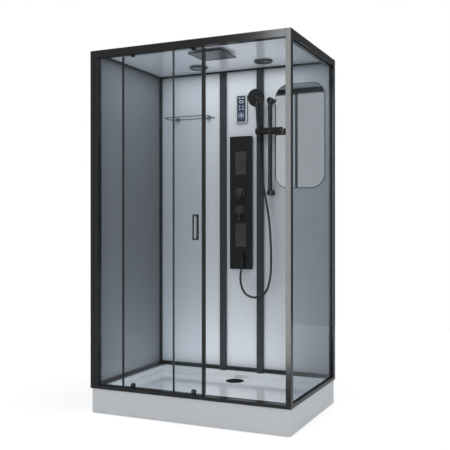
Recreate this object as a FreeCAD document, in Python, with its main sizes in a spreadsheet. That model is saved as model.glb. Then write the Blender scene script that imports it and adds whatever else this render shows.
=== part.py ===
"""Rectangular shower cabin on a tray: black frame, tinted glass, sliding door, massage panel, hand
shower on a rail, control unit, mirror, shelf and rain head.

Millimetres. X runs along the front to the right, Y to the back, Z up. The origin is the centre of the
footprint on the floor. Every size is a cell of the sheet Sizes, and every sub-part is bound to it.
"""

import FreeCAD, Part
import math
import os
import Sketcher
from FreeCAD import Placement, Rotation, Vector

doc = FreeCAD.newDocument("ShowerCabin")
sheet = doc.addObject("Spreadsheet::Sheet", "Sizes")

SIZES = {
    # whole cabin
    "width": 1200, "depth": 800, "height": 2050,
    # tray: skirt, rim, stepped basin, waste hole
    "tray_height": 140, "tray_inset": 6, "tray_gap": 2, "tray_wall": 5, "tray_corner": 8,
    "rim_front": 52, "rim_side": 44, "rim_back": 36, "ledge_drop": 12, "ledge_width": 26,
    "basin_drop": 38, "basin_corner": 30, "waste_back": 129, "waste_hole": 84,
    "cover_dia": 112, "cover_thick": 4, "cover_dome": 2,
    "trap_height": 74, "trap_wall": 3, "outlet_dia": 40, "outlet_height": 48, "outlet_reach": 105,
    "union_radius": 25, "union_reach": 7, "notch_width": 90, "notch_height": 88,
    "bearer": 30, "bearer_length": 1040, "bearer_front": 190, "bearer_back": 300, "bearer_wall": 2,
    "foot_dia": 44, "foot_thick": 8, "foot_stud": 10, "foot_spread": 470, "foot_nut": 19,
    # frame: posts, rails, sills
    "post_width": 28.4, "post_depth": 34, "jamb_width": 23.6, "joint_groove": 1.6, "skin": 2,
    "rail_height": 40, "rail_depth": 42, "slim_rail": 16, "slim_depth": 26,
    "sill_height": 20, "sill_depth": 50, "back_sill_height": 28,
    "slot": 9, "play": 0.3, "corner_gap": 0.3,
    # panes and panels: thickness and distance from the outer face of the frame
    "glass": 5, "glass_setback": 12, "wall_setback": 8, "back_setback": 10, "roof_thick": 4,
    "joiner_width": 12, "joiner_left": 522, "edge_left": 698.8, "edge_width": 12,
    "lip": 2.5, "column_width": 44, "column_depth": 15, "column_offset": 126.5,
    # door
    "door_left": 195, "door_right": 710.5, "door_setback": 28, "seal_width": 12, "seal_depth": 11,
    "channel": 16, "channel_mouth": 8, "channel_depth": 26, "lip_thick": 2,
    "roller_inset": 69, "roller_radius": 9, "guide_radius": 6, "tread": 4,
    "axle_radius": 2.5, "running": 0.05, "hanger": 4, "clip_radius": 14, "clip_thick": 12,
    "clip_cover": 6, "post_seal": 8,
    "handle_width": 36, "handle_height": 137, "handle_slot": 14, "handle_out": 7, "handle_in": 22,
    "handle_left": 637, "handle_z": 1052,
    # mirror and shelf
    "mirror_height": 640, "mirror_from_rail": 19.5, "mirror_from_side": 57.5, "mirror_drop": 440,
    "mirror_thick": 4, "mirror_corner": 85,
    "shelf_from_column": 41.5, "shelf_length": 305, "shelf_deep": 126, "shelf_thick": 6,
    "shelf_drop": 300, "shelf_corner": 25, "shelf_clip": 24,
    # massage panel with jets and valves
    "panel_width": 148, "panel_low_drop": 1263, "panel_drop": 428, "panel_thick": 23,
    "panel_round": 4, "panel_wall": 2.5,
    "jet_pitch": 15, "jet_columns": 5, "jet_rows": 10, "jet_radius": 2.6, "jet_tip": 1.2,
    "jet_upper_drop": 595, "jet_lower_drop": 1048, "jet_border": 8, "jet_mat": 2.2, "jet_sides": 4,
    "valve_upper_drop": 782, "valve_lower_drop": 890, "valve_stem": 6, "valve_body": 30,
    "valve_tall": 48, "valve_grip": 12, "valve_pipe": 14,
    "rosette_radius": 30, "rosette_thick": 6, "knob_radius": 24, "knob_length": 30,
    "lever_width": 11, "lever_upper": 43, "lever_lower": 66, "lever_thick": 9,
    "inlet_dia": 21, "inlet_block": 26, "inlet_gap": 75, "elbow_under_top": 1170, "elbow_x": 20,
    "elbow_out": 22, "elbow_radius": 9, "elbow_drop": 26, "elbow_rise": 12,
    "hose_radius": 7, "hose_gap": 0.1, "hose_exit": 22, "hose_sides": 6,
    # slide rail with slider, holder, knob and hand shower
    "rail_x": 205, "rail_out": 40, "rail_radius": 12.5, "rail_low_drop": 787, "rail_high_drop": 219,
    "rail_over": 16, "mount_radius": 18, "mount_nose": 16,
    "slider_drop": 407, "slider_radius": 21, "slider_left": 53, "slider_right": 45,
    "knob_long": 37, "holder_long": 40, "spigot": 8, "spigot_long": 6,
    "handset_tilt": 12, "handle_radius": 12, "handset_below": 34,
    "handset_reach": 206, "head_radius": 55, "head_thick": 17, "nut_radius": 9, "nut_long": 17,
    # control unit
    "control_width": 78, "control_height": 175, "control_thick": 12, "control_drop": 254,
    "control_round": 5, "face_width": 58, "face_height": 163, "face_thick": 3,
    "key_width": 14, "key_height": 10, "key_gap": 8, "key_proud": 1.5, "key_travel": 1,
    "keys_drop": 247, "field_drop": 296, "field_radius": 20,
    # roof fittings
    "rain_size": 212, "rain_thick": 7, "rain_gap": 12, "rain_x": 26, "rain_y": -105,
    "rain_corner": 12, "barrel_radius": 8, "barrel_long": 20,
    "lamp_radius": 56, "lamp_thick": 12, "lamp_spread": 215, "lamp_y": 205,
}

for row, (alias, value) in enumerate(SIZES.items(), start=1):
    sheet.set(f"A{row}", alias)
    sheet.set(f"B{row}", str(value))
    sheet.setAlias(f"B{row}", alias)
doc.recompute()

# Places that several pieces share, as expressions of the sheet.
LEFT = "(-Sizes.width / 2)"
RIGHT = "(Sizes.width / 2)"
FRONT = "(-Sizes.depth / 2)"
BACK = "(Sizes.depth / 2)"
RIM = "Sizes.tray_height"
TOP = "Sizes.height"
POST_TOP = f"({TOP} - {RIM})"
LEFT_POST = "(Sizes.post_width + Sizes.jamb_width)"
FLOOR = f"({RIM} - Sizes.basin_drop)"
UNDER_FLOOR = f"({FLOOR} - Sizes.tray_wall)"
BITE = "(Sizes.slot - Sizes.play)"
WALL_Y = f"({BACK} - Sizes.back_setback - Sizes.glass)"
ROOF_LOW = f"({TOP} - Sizes.roof_thick - 1)"
GLASS_Y = f"({FRONT} + Sizes.glass_setback)"
DOOR_Y = f"({FRONT} + Sizes.door_setback)"
DOOR_MID = f"({DOOR_Y} + Sizes.glass / 2)"
DOOR_LEFT = f"({LEFT} + Sizes.door_left)"
DOOR_RIGHT = f"({LEFT} + Sizes.door_right)"
RAIL_Z = f"({TOP} - Sizes.rail_height)"
SILL_Z = f"({RIM} + Sizes.sill_height)"
PANEL_Y = f"({WALL_Y} - Sizes.panel_thick)"
RAIL_Y = f"({WALL_Y} - Sizes.rail_out)"
WASTE_Y = f"({BACK} - Sizes.waste_back)"
VALVE_Y = f"({BACK} - Sizes.valve_body / 2 - 2)"
SKIN = "Sizes.skin"
LIP = "Sizes.lip"
# Distance from the middle to a flat of a twelve-sided bar, as a share of its corner's distance.
FLAT = "cos(15deg)"

# Fittings of the back wall hang at set distances below the top.
PANEL_LOW = f"({TOP} - Sizes.panel_low_drop)"
PANEL_TOP = f"({TOP} - Sizes.panel_drop)"
JET_UPPER = f"({TOP} - Sizes.jet_upper_drop)"
JET_LOWER = f"({TOP} - Sizes.jet_lower_drop)"
VALVE_UPPER = f"({TOP} - Sizes.valve_upper_drop)"
VALVE_LOWER = f"({TOP} - Sizes.valve_lower_drop)"
ELBOW_Z = f"({TOP} - Sizes.elbow_under_top)"
SLIDER_Z = f"({TOP} - Sizes.slider_drop)"
RAIL_LOW = f"({TOP} - Sizes.rail_low_drop)"
RAIL_HIGH = f"({TOP} - Sizes.rail_high_drop)"
CONTROL_Z = f"({TOP} - Sizes.control_drop)"
KEYS_Z = f"({TOP} - Sizes.keys_drop)"
FIELD_Z = f"({TOP} - Sizes.field_drop)"
MIRROR_Z = f"({TOP} - Sizes.mirror_drop)"
SHELF_Z = f"({TOP} - Sizes.shelf_drop)"


def num(text):
    """Value of an expression of the sheet."""
    return float(sheet.evalExpression(str(text)))


def bind(thing, **places):
    """Ties properties to expressions; Length becomes the property Length, x_ the placement's x."""
    for name, text in places.items():
        path = f"Placement.Base.{name[0]}" if name in ("x_", "y_", "z_") else name
        thing.setExpression(path, str(text))
    return thing


def box(name, x, y, z, length, width, height):
    return bind(doc.addObject("Part::Box", name), x_=x, y_=y, z_=z,
                Length=length, Width=width, Height=height)


AXES = {
    "+z": Rotation(),
    "+x": Rotation(Vector(0, 1, 0), 90),
    "+y": Rotation(Vector(1, 0, 0), -90),
    "-y": Rotation(Vector(1, 0, 0), 90),
    "-z": Rotation(Vector(1, 0, 0), 180),
}


def rod(name, x, y, z, radius, height, along="+z"):
    """Cylinder that starts at a point and runs along an axis."""
    cylinder = doc.addObject("Part::Cylinder", name)
    cylinder.Placement = Placement(Vector(), AXES[along])
    return bind(cylinder, x_=x, y_=y, z_=z, Radius=radius, Height=height)


def prism(name, sides, x, y, z, radius, height, along="+z"):
    """Bar with flat sides, such as a nut."""
    bar = doc.addObject("Part::Prism", name)
    bar.Polygon = sides
    bar.Placement = Placement(Vector(), AXES[along])
    return bind(bar, x_=x, y_=y, z_=z, Circumradius=radius, Height=height)


def fuse(name, *shapes):
    joined = doc.addObject("Part::MultiFuse", name)
    joined.Shapes = list(shapes)
    joined.Refine = True
    return joined


def cut(name, base, *tools):
    """Base less one or more tools."""
    less = doc.addObject("Part::Cut", name)
    less.Base = base
    less.Tool = tools[0] if len(tools) == 1 else fuse(name + "_tools", *tools)
    return less


def group(name, *shapes):
    """Several separate solids that share one node."""
    compound = doc.addObject("Part::Compound", name)
    compound.Links = list(shapes)
    return compound


def sketch_on(body, role):
    sketch = body.newObject("Sketcher::SketchObject", body.Name + "_outline")
    plane = [o for o in body.Origin.OriginFeatures if o.Role == role][0]
    sketch.AttachmentSupport = [(plane, "")]
    sketch.MapMode = "FlatFace"
    return sketch


def draw(sketch, points):
    """Closed straight outline whose corners are held by their distances from the origin."""
    values = [(num(u), num(v)) for u, v in points]
    first = sketch.GeometryCount
    ends = values[1:] + values[:1]
    sketch.addGeometry(
        [Part.LineSegment(Vector(*a, 0), Vector(*b, 0)) for a, b in zip(values, ends)], False)
    count = len(points)
    rules = [Sketcher.Constraint("Coincident", first + i, 2, first + (i + 1) % count, 1)
             for i in range(count)]
    for i, (u, v) in enumerate(values):
        rules.append(Sketcher.Constraint("DistanceX", -1, 1, first + i, 1, u))
        rules.append(Sketcher.Constraint("DistanceY", -1, 1, first + i, 1, v))
    start = sketch.ConstraintCount
    sketch.addConstraint(rules)
    for i, (u, v) in enumerate(points):
        sketch.setExpression(f"Constraints[{start + count + 2 * i}]", str(u))
        sketch.setExpression(f"Constraints[{start + count + 2 * i + 1}]", str(v))


PLANES = {"z": "XY_Plane", "x": "YZ_Plane", "y": "XZ_Plane"}


def extrusion(name, along, outlines, x, y, z, length):
    """Body with straight outlines, the first one outside, run out along X, Y or Z."""
    body = doc.addObject("PartDesign::Body", name)
    sketch = sketch_on(body, PLANES[along])
    for points in outlines:
        draw(sketch, points)
    pad = body.newObject("PartDesign::Pad", name + "_pad")
    pad.Profile = sketch
    pad.Reversed = along == "y"
    pad.setExpression("Length", str(length))
    return bind(body, x_=x, y_=y, z_=z)


def soften(body, radius, wanted):
    """Rounds the edges of a body's last feature that the test picks."""
    doc.recompute()
    last = body.Tip
    names = [f"Edge{i}" for i, edge in enumerate(last.Shape.Edges, start=1) if wanted(edge)]
    fillet = body.newObject("PartDesign::Fillet", f"{body.Name}_round{len(body.Group)}")
    fillet.Base = (last, names)
    fillet.setExpression("Radius", str(radius))
    body.Tip = fillet
    return body


def edge_runs(axis):
    """Test for straight edges that run along one axis of the body."""
    def test(edge):
        a, b = edge.firstVertex().Point, edge.lastVertex().Point
        return len(edge.Vertexes) == 2 and abs(abs((b - a).normalize()[axis]) - 1) < 1e-6
    return test


def rectangle(width, depth, left="0", low="0"):
    return [(left, low), (f"{left} + {width}", low),
            (f"{left} + {width}", f"{low} + {depth}"), (left, f"{low} + {depth}")]


def rounded_plate(name, along, width, height, thick, corner, x, y, z):
    """Plate in the plane across one axis with four rounded corners."""
    plate = extrusion(name, along, [rectangle(width, height)], x, y, z, thick)
    return soften(plate, corner, edge_runs({"x": 0, "y": 1, "z": 2}[along]))


def notched(width, depth, low=(), right=(), high=(), left=()):
    """Section with grooves. A groove is (start, end, depth), measured along +u or +v of its side,
    and an undercut one adds the thickness of its lips and how far they reach over it."""
    def steps(groove):
        start, end, deep = groove[:3]
        if len(groove) == 3:
            return [(start, "0"), (start, deep), (end, deep), (end, "0")]
        lip, over = groove[3:]
        wide_start, wide_end = f"{start} - {over}", f"{end} + {over}"
        return [(start, "0"), (start, lip), (wide_start, lip), (wide_start, deep),
                (wide_end, deep), (wide_end, lip), (end, lip), (end, "0")]

    points = [("0", "0")]
    for groove in low:
        points += steps(groove)
    points.append((width, "0"))
    for groove in right:
        points += [(f"{width} - ({d})", a) for a, d in steps(groove)]
    points.append((width, depth))
    for groove in reversed(high):
        points += [(a, f"{depth} - ({d})") for a, d in reversed(steps(groove))]
    points.append(("0", depth))
    for groove in reversed(left):
        points += [(d, a) for a, d in reversed(steps(groove))]
    return points


def pane_slot(setback):
    """Groove that takes a pane with play on both faces."""
    return (f"{setback} - Sizes.play", f"{setback} + Sizes.glass + Sizes.play", "Sizes.slot")


def mirrored(width, groove):
    """The same groove measured from the other side."""
    start, end, deep = groove
    return (f"{width} - ({end})", f"{width} - ({start})", deep)


# ---- tray ----------------------------------------------------------------------------------------

def make_tray():
    """Moulded tray: thin skirt to the floor, flat rim, ledge and basin with a waste hole."""
    def ring(name, left, front, back, low, high, corner):
        return rounded_plate(
            name, "z", f"Sizes.width - 2 * ({left})", f"Sizes.depth - {front} - ({back})",
            f"{high} - ({low})", corner, f"{LEFT} + {left}", f"{FRONT} + {front}", low)

    inset = "Sizes.tray_inset"
    wall = f"({inset} + Sizes.tray_wall)"
    side = f"({inset} + Sizes.rim_side)"
    front = f"({inset} + Sizes.rim_front)"
    back = f"({inset} + Sizes.rim_back)"
    ledge = "Sizes.ledge_width"
    block = ring("tray_block", inset, inset, inset, "Sizes.tray_gap", RIM, "Sizes.tray_corner")
    hollow = box("tray_hollow", f"{LEFT} + {wall}", f"{FRONT} + {wall}", "0",
                 f"Sizes.width - 2 * {wall}", f"Sizes.depth - 2 * {wall}", UNDER_FLOOR)
    shelf = ring("tray_shelf", side, front, back, f"{RIM} - Sizes.ledge_drop", f"{RIM} + 1",
                 "Sizes.basin_corner")
    basin = ring("tray_basin", f"({side} + {ledge})", f"({front} + {ledge})", f"({back} + {ledge})",
                 FLOOR, f"{RIM} + 1", "Sizes.basin_corner")
    waste = prism("tray_waste", 24, "0", WASTE_Y, f"{UNDER_FLOOR} - 1", "Sizes.waste_hole / 2",
                  "Sizes.tray_wall + 2")
    half = "Sizes.notch_width / 2"
    notch = box("tray_notch", f"-{half}", f"{BACK} - {inset} - Sizes.tray_wall - 1", "0",
                f"2 * {half}", "Sizes.tray_wall + 2", "Sizes.notch_height")
    return cut("tray", block, hollow, shelf, basin, waste, notch)


def make_tray_legs():
    """Two square steel bearers along the floor's underside, each on three levelling feet."""
    pieces = []
    low = f"({UNDER_FLOOR} - Sizes.bearer)"
    for place, y in (("front", f"{FRONT} + Sizes.bearer_front"),
                     ("back", f"{BACK} - Sizes.bearer_back")):
        wall = "Sizes.bearer_wall"
        pieces.append(extrusion(
            f"bearer_{place}", "x",
            [rectangle("Sizes.bearer", "Sizes.bearer"),
             rectangle(f"Sizes.bearer - 2 * {wall}", f"Sizes.bearer - 2 * {wall}", wall, wall)],
            "-Sizes.bearer_length / 2", y, low, "Sizes.bearer_length"))
        for side, x in (("left", "-Sizes.foot_spread"), ("middle", "0"),
                        ("right", "Sizes.foot_spread")):
            name, middle = f"foot_{place}_{side}", f"{y} + Sizes.bearer / 2"
            thick = "Sizes.foot_thick"
            pad = prism(f"{name}_pad", 10, x, middle, "0", "Sizes.foot_dia / 2", thick)
            stud = prism(f"{name}_stud", 6, x, middle, thick, "Sizes.foot_stud / 2",
                         f"{low} - {thick}")
            nut = prism(f"{name}_nut", 6, x, middle, f"{low} - {thick}", "Sizes.foot_nut / 2",
                        thick)
            pieces.append(fuse(name, pad, stud, nut))
    return group("tray_legs", *pieces)


def make_waste():
    """Cup trap bolted under the tray with its outlet to the back, and the cover that lifts off."""
    hole = "Sizes.waste_hole / 2"
    cup = f"({hole} - 2)"
    flange = f"({hole} + 8)"
    low = f"{UNDER_FLOOR} - Sizes.trap_height"
    wall = "Sizes.trap_wall"
    high = "Sizes.trap_height"
    bowl = prism("trap_bowl", 12, "0", WASTE_Y, low, cup, high)
    flange_ring = prism("trap_flange", 12, "0", WASTE_Y, f"{low} + {high} - 5", flange, "5")
    seat = f"({WASTE_Y} + {cup} + Sizes.union_reach)"
    union = prism("trap_union", 8, "0", f"{WASTE_Y} + {cup} - 2 * {wall}", "Sizes.outlet_height",
                  "Sizes.union_radius", f"2 * {wall} + Sizes.union_reach", "+y")
    pipe = rod("trap_pipe", "0", seat, "Sizes.outlet_height", "Sizes.outlet_dia / 2",
               f"{WASTE_Y} + Sizes.outlet_reach - {seat}", "+y")
    bore = prism("trap_bore", 12, "0", f"{WASTE_Y} + {cup} - 3 * {wall}", "Sizes.outlet_height",
                 f"Sizes.outlet_dia / 2 - {wall} + 0.5", "Sizes.outlet_reach", "+y")
    inside = prism("trap_inside", 12, "0", WASTE_Y, f"{low} + {wall}", f"{cup} - {wall}", high)
    trap = cut("waste_trap", fuse("trap_whole", bowl, flange_ring, union, pipe), inside, bore)

    rim = "Sizes.cover_dia / 2"
    thick, dome = "Sizes.cover_thick", "Sizes.cover_dome"
    leg = f"({cup} - {wall} - 1)"
    seat = f"{FLOOR} + Sizes.play"
    disc = prism("cover_disc", 28, "0", WASTE_Y, seat, rim, thick)
    crown = prism("cover_crown", 28, "0", WASTE_Y, f"{seat} + {thick}", f"{rim} - 8", dome)
    plug = prism("cover_plug", 12, "0", WASTE_Y, f"{seat} - 9", leg, "9")
    cover = fuse("drain_cover", disc, crown, plug)
    return trap, cover


# ---- frame ---------------------------------------------------------------------------------------

def post(name, wide, deep, x, y, hollow, **grooves):
    """Upright extrusion from the tray's rim to the top."""
    return extrusion(name, "z", [notched(wide, deep, **grooves), hollow], x, y, RIM, POST_TOP)


def make_posts():
    wide, deep, skin = "Sizes.post_width", "Sizes.post_depth", "Sizes.skin"
    side_slot = pane_slot("Sizes.glass_setback")
    wall_slot = pane_slot("Sizes.wall_setback")
    back_slot = pane_slot("Sizes.back_setback")
    # The jamb beside the front left post shows as a groove down its face.
    groove = (f"{wide} - Sizes.joint_groove / 2", f"{wide} + Sizes.joint_groove / 2",
              "Sizes.joint_groove")
    inner = f"{deep} - Sizes.slot - 2 * {skin} - Sizes.joint_groove"
    front_left = post(
        "post_front_left", LEFT_POST, deep, LEFT, FRONT,
        rectangle(f"{LEFT_POST} - Sizes.slot - 2 * {skin}", inner, skin,
                  f"{skin} + Sizes.joint_groove"),
        low=(groove,), right=(side_slot,), high=(wall_slot,))
    front_right = post(
        "post_front_right", wide, deep, f"{RIGHT} - {wide}", FRONT,
        rectangle(f"{wide} - 2 * {skin}", f"{deep} - Sizes.slot - 2 * {skin}", skin, skin),
        high=(mirrored(wide, side_slot),))
    # Back posts take a side pane in front and a back panel in their inner face.
    back_hollow_y = f"(Sizes.slot + {skin})"
    low_part = f"{deep} - {back_hollow_y} - Sizes.back_setback - Sizes.glass - {skin}"
    back_left = post(
        "post_back_left", wide, deep, LEFT, f"{BACK} - {deep}",
        rectangle(f"{wide} - 2 * {skin}", low_part, skin, back_hollow_y),
        low=(wall_slot,), right=(mirrored(deep, back_slot),))
    back_right = post(
        "post_back_right", wide, deep, f"{RIGHT} - {wide}", f"{BACK} - {deep}",
        rectangle(f"{wide} - 2 * {skin}", low_part, skin, back_hollow_y),
        low=(mirrored(wide, side_slot),), left=(mirrored(deep, back_slot),))
    return front_left, front_right, group("posts_back", back_left, back_right)


def roller_channel(undercut_depth):
    """Undercut channel around the door's plane, open to the door."""
    middle = "Sizes.door_setback + Sizes.glass / 2"
    return (f"{middle} - Sizes.channel_mouth / 2", f"{middle} + Sizes.channel_mouth / 2",
            undercut_depth, "Sizes.lip_thick", "(Sizes.channel - Sizes.channel_mouth) / 2")


FRONT_RUN = f"Sizes.width - {LEFT_POST} - Sizes.post_width - 2 * Sizes.corner_gap"
SIDE_RUN = "Sizes.depth - 2 * Sizes.post_depth - 2 * Sizes.corner_gap"
BACK_RUN = "Sizes.width - 2 * Sizes.post_width - 2 * Sizes.corner_gap"
FRONT_START = f"{LEFT} + {LEFT_POST} + Sizes.corner_gap"
SIDE_START = f"{FRONT} + Sizes.post_depth + Sizes.corner_gap"
BACK_START = f"{LEFT} + Sizes.post_width + Sizes.corner_gap"


def make_top_rails():
    """Top rails with a pane slot below and a groove inside that carries the roof panel."""
    deep, high, slim = "Sizes.rail_depth", "Sizes.rail_height", "Sizes.slim_rail"
    thin = "Sizes.slim_depth"

    def roof_groove(rail):
        low = f"{rail} - Sizes.roof_thick - 1 - Sizes.play"
        return (low, f"{low} + Sizes.roof_thick + 2 * Sizes.play", "5")

    front = extrusion(
        "top_rail_front", "x",
        [notched(deep, high, low=(pane_slot("Sizes.glass_setback"),
                                  roller_channel("Sizes.channel_depth")),
                 right=(roof_groove(high),))],
        FRONT_START, FRONT, RAIL_Z, FRONT_RUN)
    right_bar = extrusion(
        "right_rail_bar", "y",
        [notched(deep, high, low=(mirrored(deep, pane_slot("Sizes.glass_setback")),),
                 left=(roof_groove(high),)),
         rectangle(f"{deep} - 2 * 8", f"{high} - Sizes.slot - 16", "8", "Sizes.slot + 4")],
        f"{RIGHT} - {deep}", SIDE_START, RAIL_Z, SIDE_RUN)
    # The front rail is deeper than its post, so the right rail is cut back round its end.
    corner = box("right_rail_corner", f"{RIGHT} - {deep} - 1", FRONT, f"{RAIL_Z} - 1",
                 f"{deep} - Sizes.post_width + 1", f"{deep} + Sizes.corner_gap", f"{high} + 2")
    right = cut("top_rail_right", right_bar, corner)
    left = extrusion(
        "top_rail_left", "y",
        [notched(thin, slim, low=(pane_slot("Sizes.wall_setback"),), right=(roof_groove(slim),))],
        LEFT, SIDE_START, f"{TOP} - {slim}", SIDE_RUN)
    back = extrusion(
        "top_rail_back", "x",
        [notched(thin, slim, low=(mirrored(thin, pane_slot("Sizes.back_setback")),),
                 left=(roof_groove(slim),))],
        BACK_START, f"{BACK} - {thin}", f"{TOP} - {slim}", BACK_RUN)
    return front, right, left, back


def make_sills():
    """Bottom rails on the tray's rim, grooved above for their panes."""
    high, deep = "Sizes.sill_height", "Sizes.sill_depth"
    thin, back_high = "Sizes.slim_depth", "Sizes.back_sill_height"
    front = extrusion(
        "sill_front", "x",
        [notched(deep, high, high=(pane_slot("Sizes.glass_setback"),
                                   roller_channel(f"{high} - 3")))],
        FRONT_START, FRONT, RIM, FRONT_RUN)
    left = extrusion(
        "sill_left", "y", [notched(thin, high, high=(pane_slot("Sizes.wall_setback"),))],
        LEFT, SIDE_START, RIM, SIDE_RUN)
    right = extrusion(
        "sill_right", "y",
        [notched(thin, high, high=(mirrored(thin, pane_slot("Sizes.glass_setback")),))],
        f"{RIGHT} - {thin}", SIDE_START, RIM, SIDE_RUN)
    back = extrusion(
        "sill_back", "x",
        [notched(thin, back_high, high=(mirrored(thin, pane_slot("Sizes.back_setback")),))],
        BACK_START, f"{BACK} - {thin}", RIM, BACK_RUN)
    return front, group("sills_side", left, right), back


# ---- panes and panels ----------------------------------------------------------------------------

def make_side_panes():
    """Left wall panel and right side glass, held in posts, rails and sills."""
    run = f"Sizes.depth - 2 * Sizes.post_depth + 2 * {BITE}"
    start = f"{FRONT} + Sizes.post_depth - {BITE}"
    low = f"{SILL_Z} - {BITE}"
    left = box("wall_panel_left", f"{LEFT} + Sizes.wall_setback", start, low, "Sizes.glass", run,
               f"{TOP} - Sizes.slim_rail + {BITE} - ({low})")
    right = box("side_glass", f"{RIGHT} - Sizes.glass_setback - Sizes.glass", start, low,
                "Sizes.glass", run, f"{RAIL_Z} + {BITE} - ({low})")
    return left, right


JOINER_LEFT = f"({LEFT} + Sizes.joiner_left)"
EDGE_LEFT = f"({LEFT} + Sizes.edge_left)"
GLASS_LOW = f"({SILL_Z} - {BITE})"
GLASS_HIGH = f"({RAIL_Z} + {BITE})"
HALF_JOINER = "(Sizes.joiner_width / 2 - 1)"


def make_front_panes():
    """Two fixed panes side by side, the H-shaped joiner between them and the free edge's profile."""
    tall = f"{GLASS_HIGH} - {GLASS_LOW}"
    start = f"{LEFT} + {LEFT_POST} - {BITE}"
    left = box("front_glass_left", start, GLASS_Y, GLASS_LOW,
               f"{JOINER_LEFT} + {HALF_JOINER} - Sizes.play - ({start})", "Sizes.glass", tall)
    second = f"{JOINER_LEFT} + Sizes.joiner_width - {HALF_JOINER} + Sizes.play"
    right = box("front_glass_right", second, GLASS_Y, GLASS_LOW,
                f"{EDGE_LEFT} + Sizes.edge_width - 2 - Sizes.play - ({second})", "Sizes.glass",
                tall)
    wide, deep = "Sizes.joiner_width", f"(Sizes.glass + 2 * Sizes.play + 2 * {LIP})"
    groove = (LIP, f"{LIP} + Sizes.glass + 2 * Sizes.play", HALF_JOINER)
    clear = f"{RAIL_Z} - {SILL_Z} - 2 * Sizes.play"
    bottom = f"{SILL_Z} + Sizes.play"
    y = f"{GLASS_Y} - {LIP} - Sizes.play"
    joiner = extrusion("glass_joiner", "z", [notched(wide, deep, left=(groove,), right=(groove,))],
                       JOINER_LEFT, y, bottom, clear)
    edge = extrusion(
        "glass_edge_profile", "z",
        [notched("Sizes.edge_width", deep,
                 left=((LIP, f"{LIP} + Sizes.glass + 2 * Sizes.play", "Sizes.edge_width - 2"),))],
        EDGE_LEFT, y, bottom, clear)
    return left, right, joiner, edge


COLUMN_EDGE = "(Sizes.column_offset + Sizes.column_width / 2)"


def make_back_wall():
    """Three gloss panels with two cover columns over their joints."""
    low = f"({RIM} + Sizes.back_sill_height - {BITE})"
    tall = f"{TOP} - Sizes.slim_rail + {BITE} - {low}"
    start = f"({LEFT} + Sizes.post_width - {BITE})"
    joint = "Sizes.column_offset"
    side = f"-{joint} - Sizes.play - {start}"
    left = box("back_panel_left", start, WALL_Y, low, side, "Sizes.glass", tall)
    right = box("back_panel_right", f"{joint} + Sizes.play", WALL_Y, low, side, "Sizes.glass", tall)
    sheet_middle = box("middle_sheet", f"-{joint}", WALL_Y, low, f"2 * {joint}", "Sizes.glass", tall)
    # The opening behind the massage panel lets the valve body and its inlets through.
    window = box("middle_window", "-Sizes.inlet_gap / 2 - 24", f"{WALL_Y} - 1",
                 f"{ELBOW_Z} - 30", "Sizes.inlet_gap + 48", "Sizes.glass + 2",
                 f"{VALVE_UPPER} - {ELBOW_Z} + 60")
    middle = cut("back_panel_middle", sheet_middle, window)
    columns = []
    bottom = f"{RIM} + Sizes.play"
    thin_front = f"{BACK} - Sizes.slim_depth"
    for side_name, x in (("left", f"-{COLUMN_EDGE}"),
                         ("right", "Sizes.column_offset - Sizes.column_width / 2")):
        # A column is a U-shaped cover that is notched over the sill and stops under the top rail.
        cover = extrusion(
            f"column_{side_name}_bar", "z",
            [notched("Sizes.column_width", "Sizes.column_depth",
                     high=((SKIN, f"Sizes.column_width - {SKIN}",
                            f"Sizes.column_depth - {SKIN}"),))],
            x, f"{WALL_Y} - Sizes.column_depth", bottom,
            f"{TOP} - Sizes.slim_rail - Sizes.play - ({bottom})")
        step = box(f"column_{side_name}_step", f"{x} - 1", f"{thin_front} - Sizes.play",
                   f"{RIM} - 1", "Sizes.column_width + 2", "Sizes.slim_depth",
                   "Sizes.back_sill_height + Sizes.play + 1")
        columns.append(cut(f"column_{side_name}", cover, step))
    return left, middle, right, group("wall_columns", *columns)


def make_roof():
    reach = "(5 - Sizes.play)"
    x = f"{LEFT} + Sizes.slim_depth - {reach}"
    y = f"{FRONT} + Sizes.rail_depth - {reach}"
    sheet_roof = box("roof_sheet", x, y, ROOF_LOW,
                     f"Sizes.width - Sizes.slim_depth - Sizes.rail_depth + 2 * {reach}",
                     f"Sizes.depth - Sizes.slim_depth - Sizes.rail_depth + 2 * {reach}",
                     "Sizes.roof_thick")
    corners = []
    gap = "Sizes.play"
    for name, cx, cy, wide in (
            ("fl", f"{LEFT} - 1", f"{FRONT} - 1", LEFT_POST),
            ("fr", f"{RIGHT} - Sizes.post_width - {gap}", f"{FRONT} - 1", "Sizes.post_width"),
            ("bl", f"{LEFT} - 1", f"{BACK} - Sizes.post_depth - {gap}", "Sizes.post_width"),
            ("br", f"{RIGHT} - Sizes.post_width - {gap}", f"{BACK} - Sizes.post_depth - {gap}",
             "Sizes.post_width")):
        corners.append(box(f"roof_corner_{name}", cx, cy, f"{ROOF_LOW} - 1", f"{wide} + 1 + {gap}",
                           f"Sizes.post_depth + 1 + {gap}", "Sizes.roof_thick + 2"))
    return cut("roof_panel", sheet_roof, *corners)


# ---- door ----------------------------------------------------------------------------------------

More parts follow.
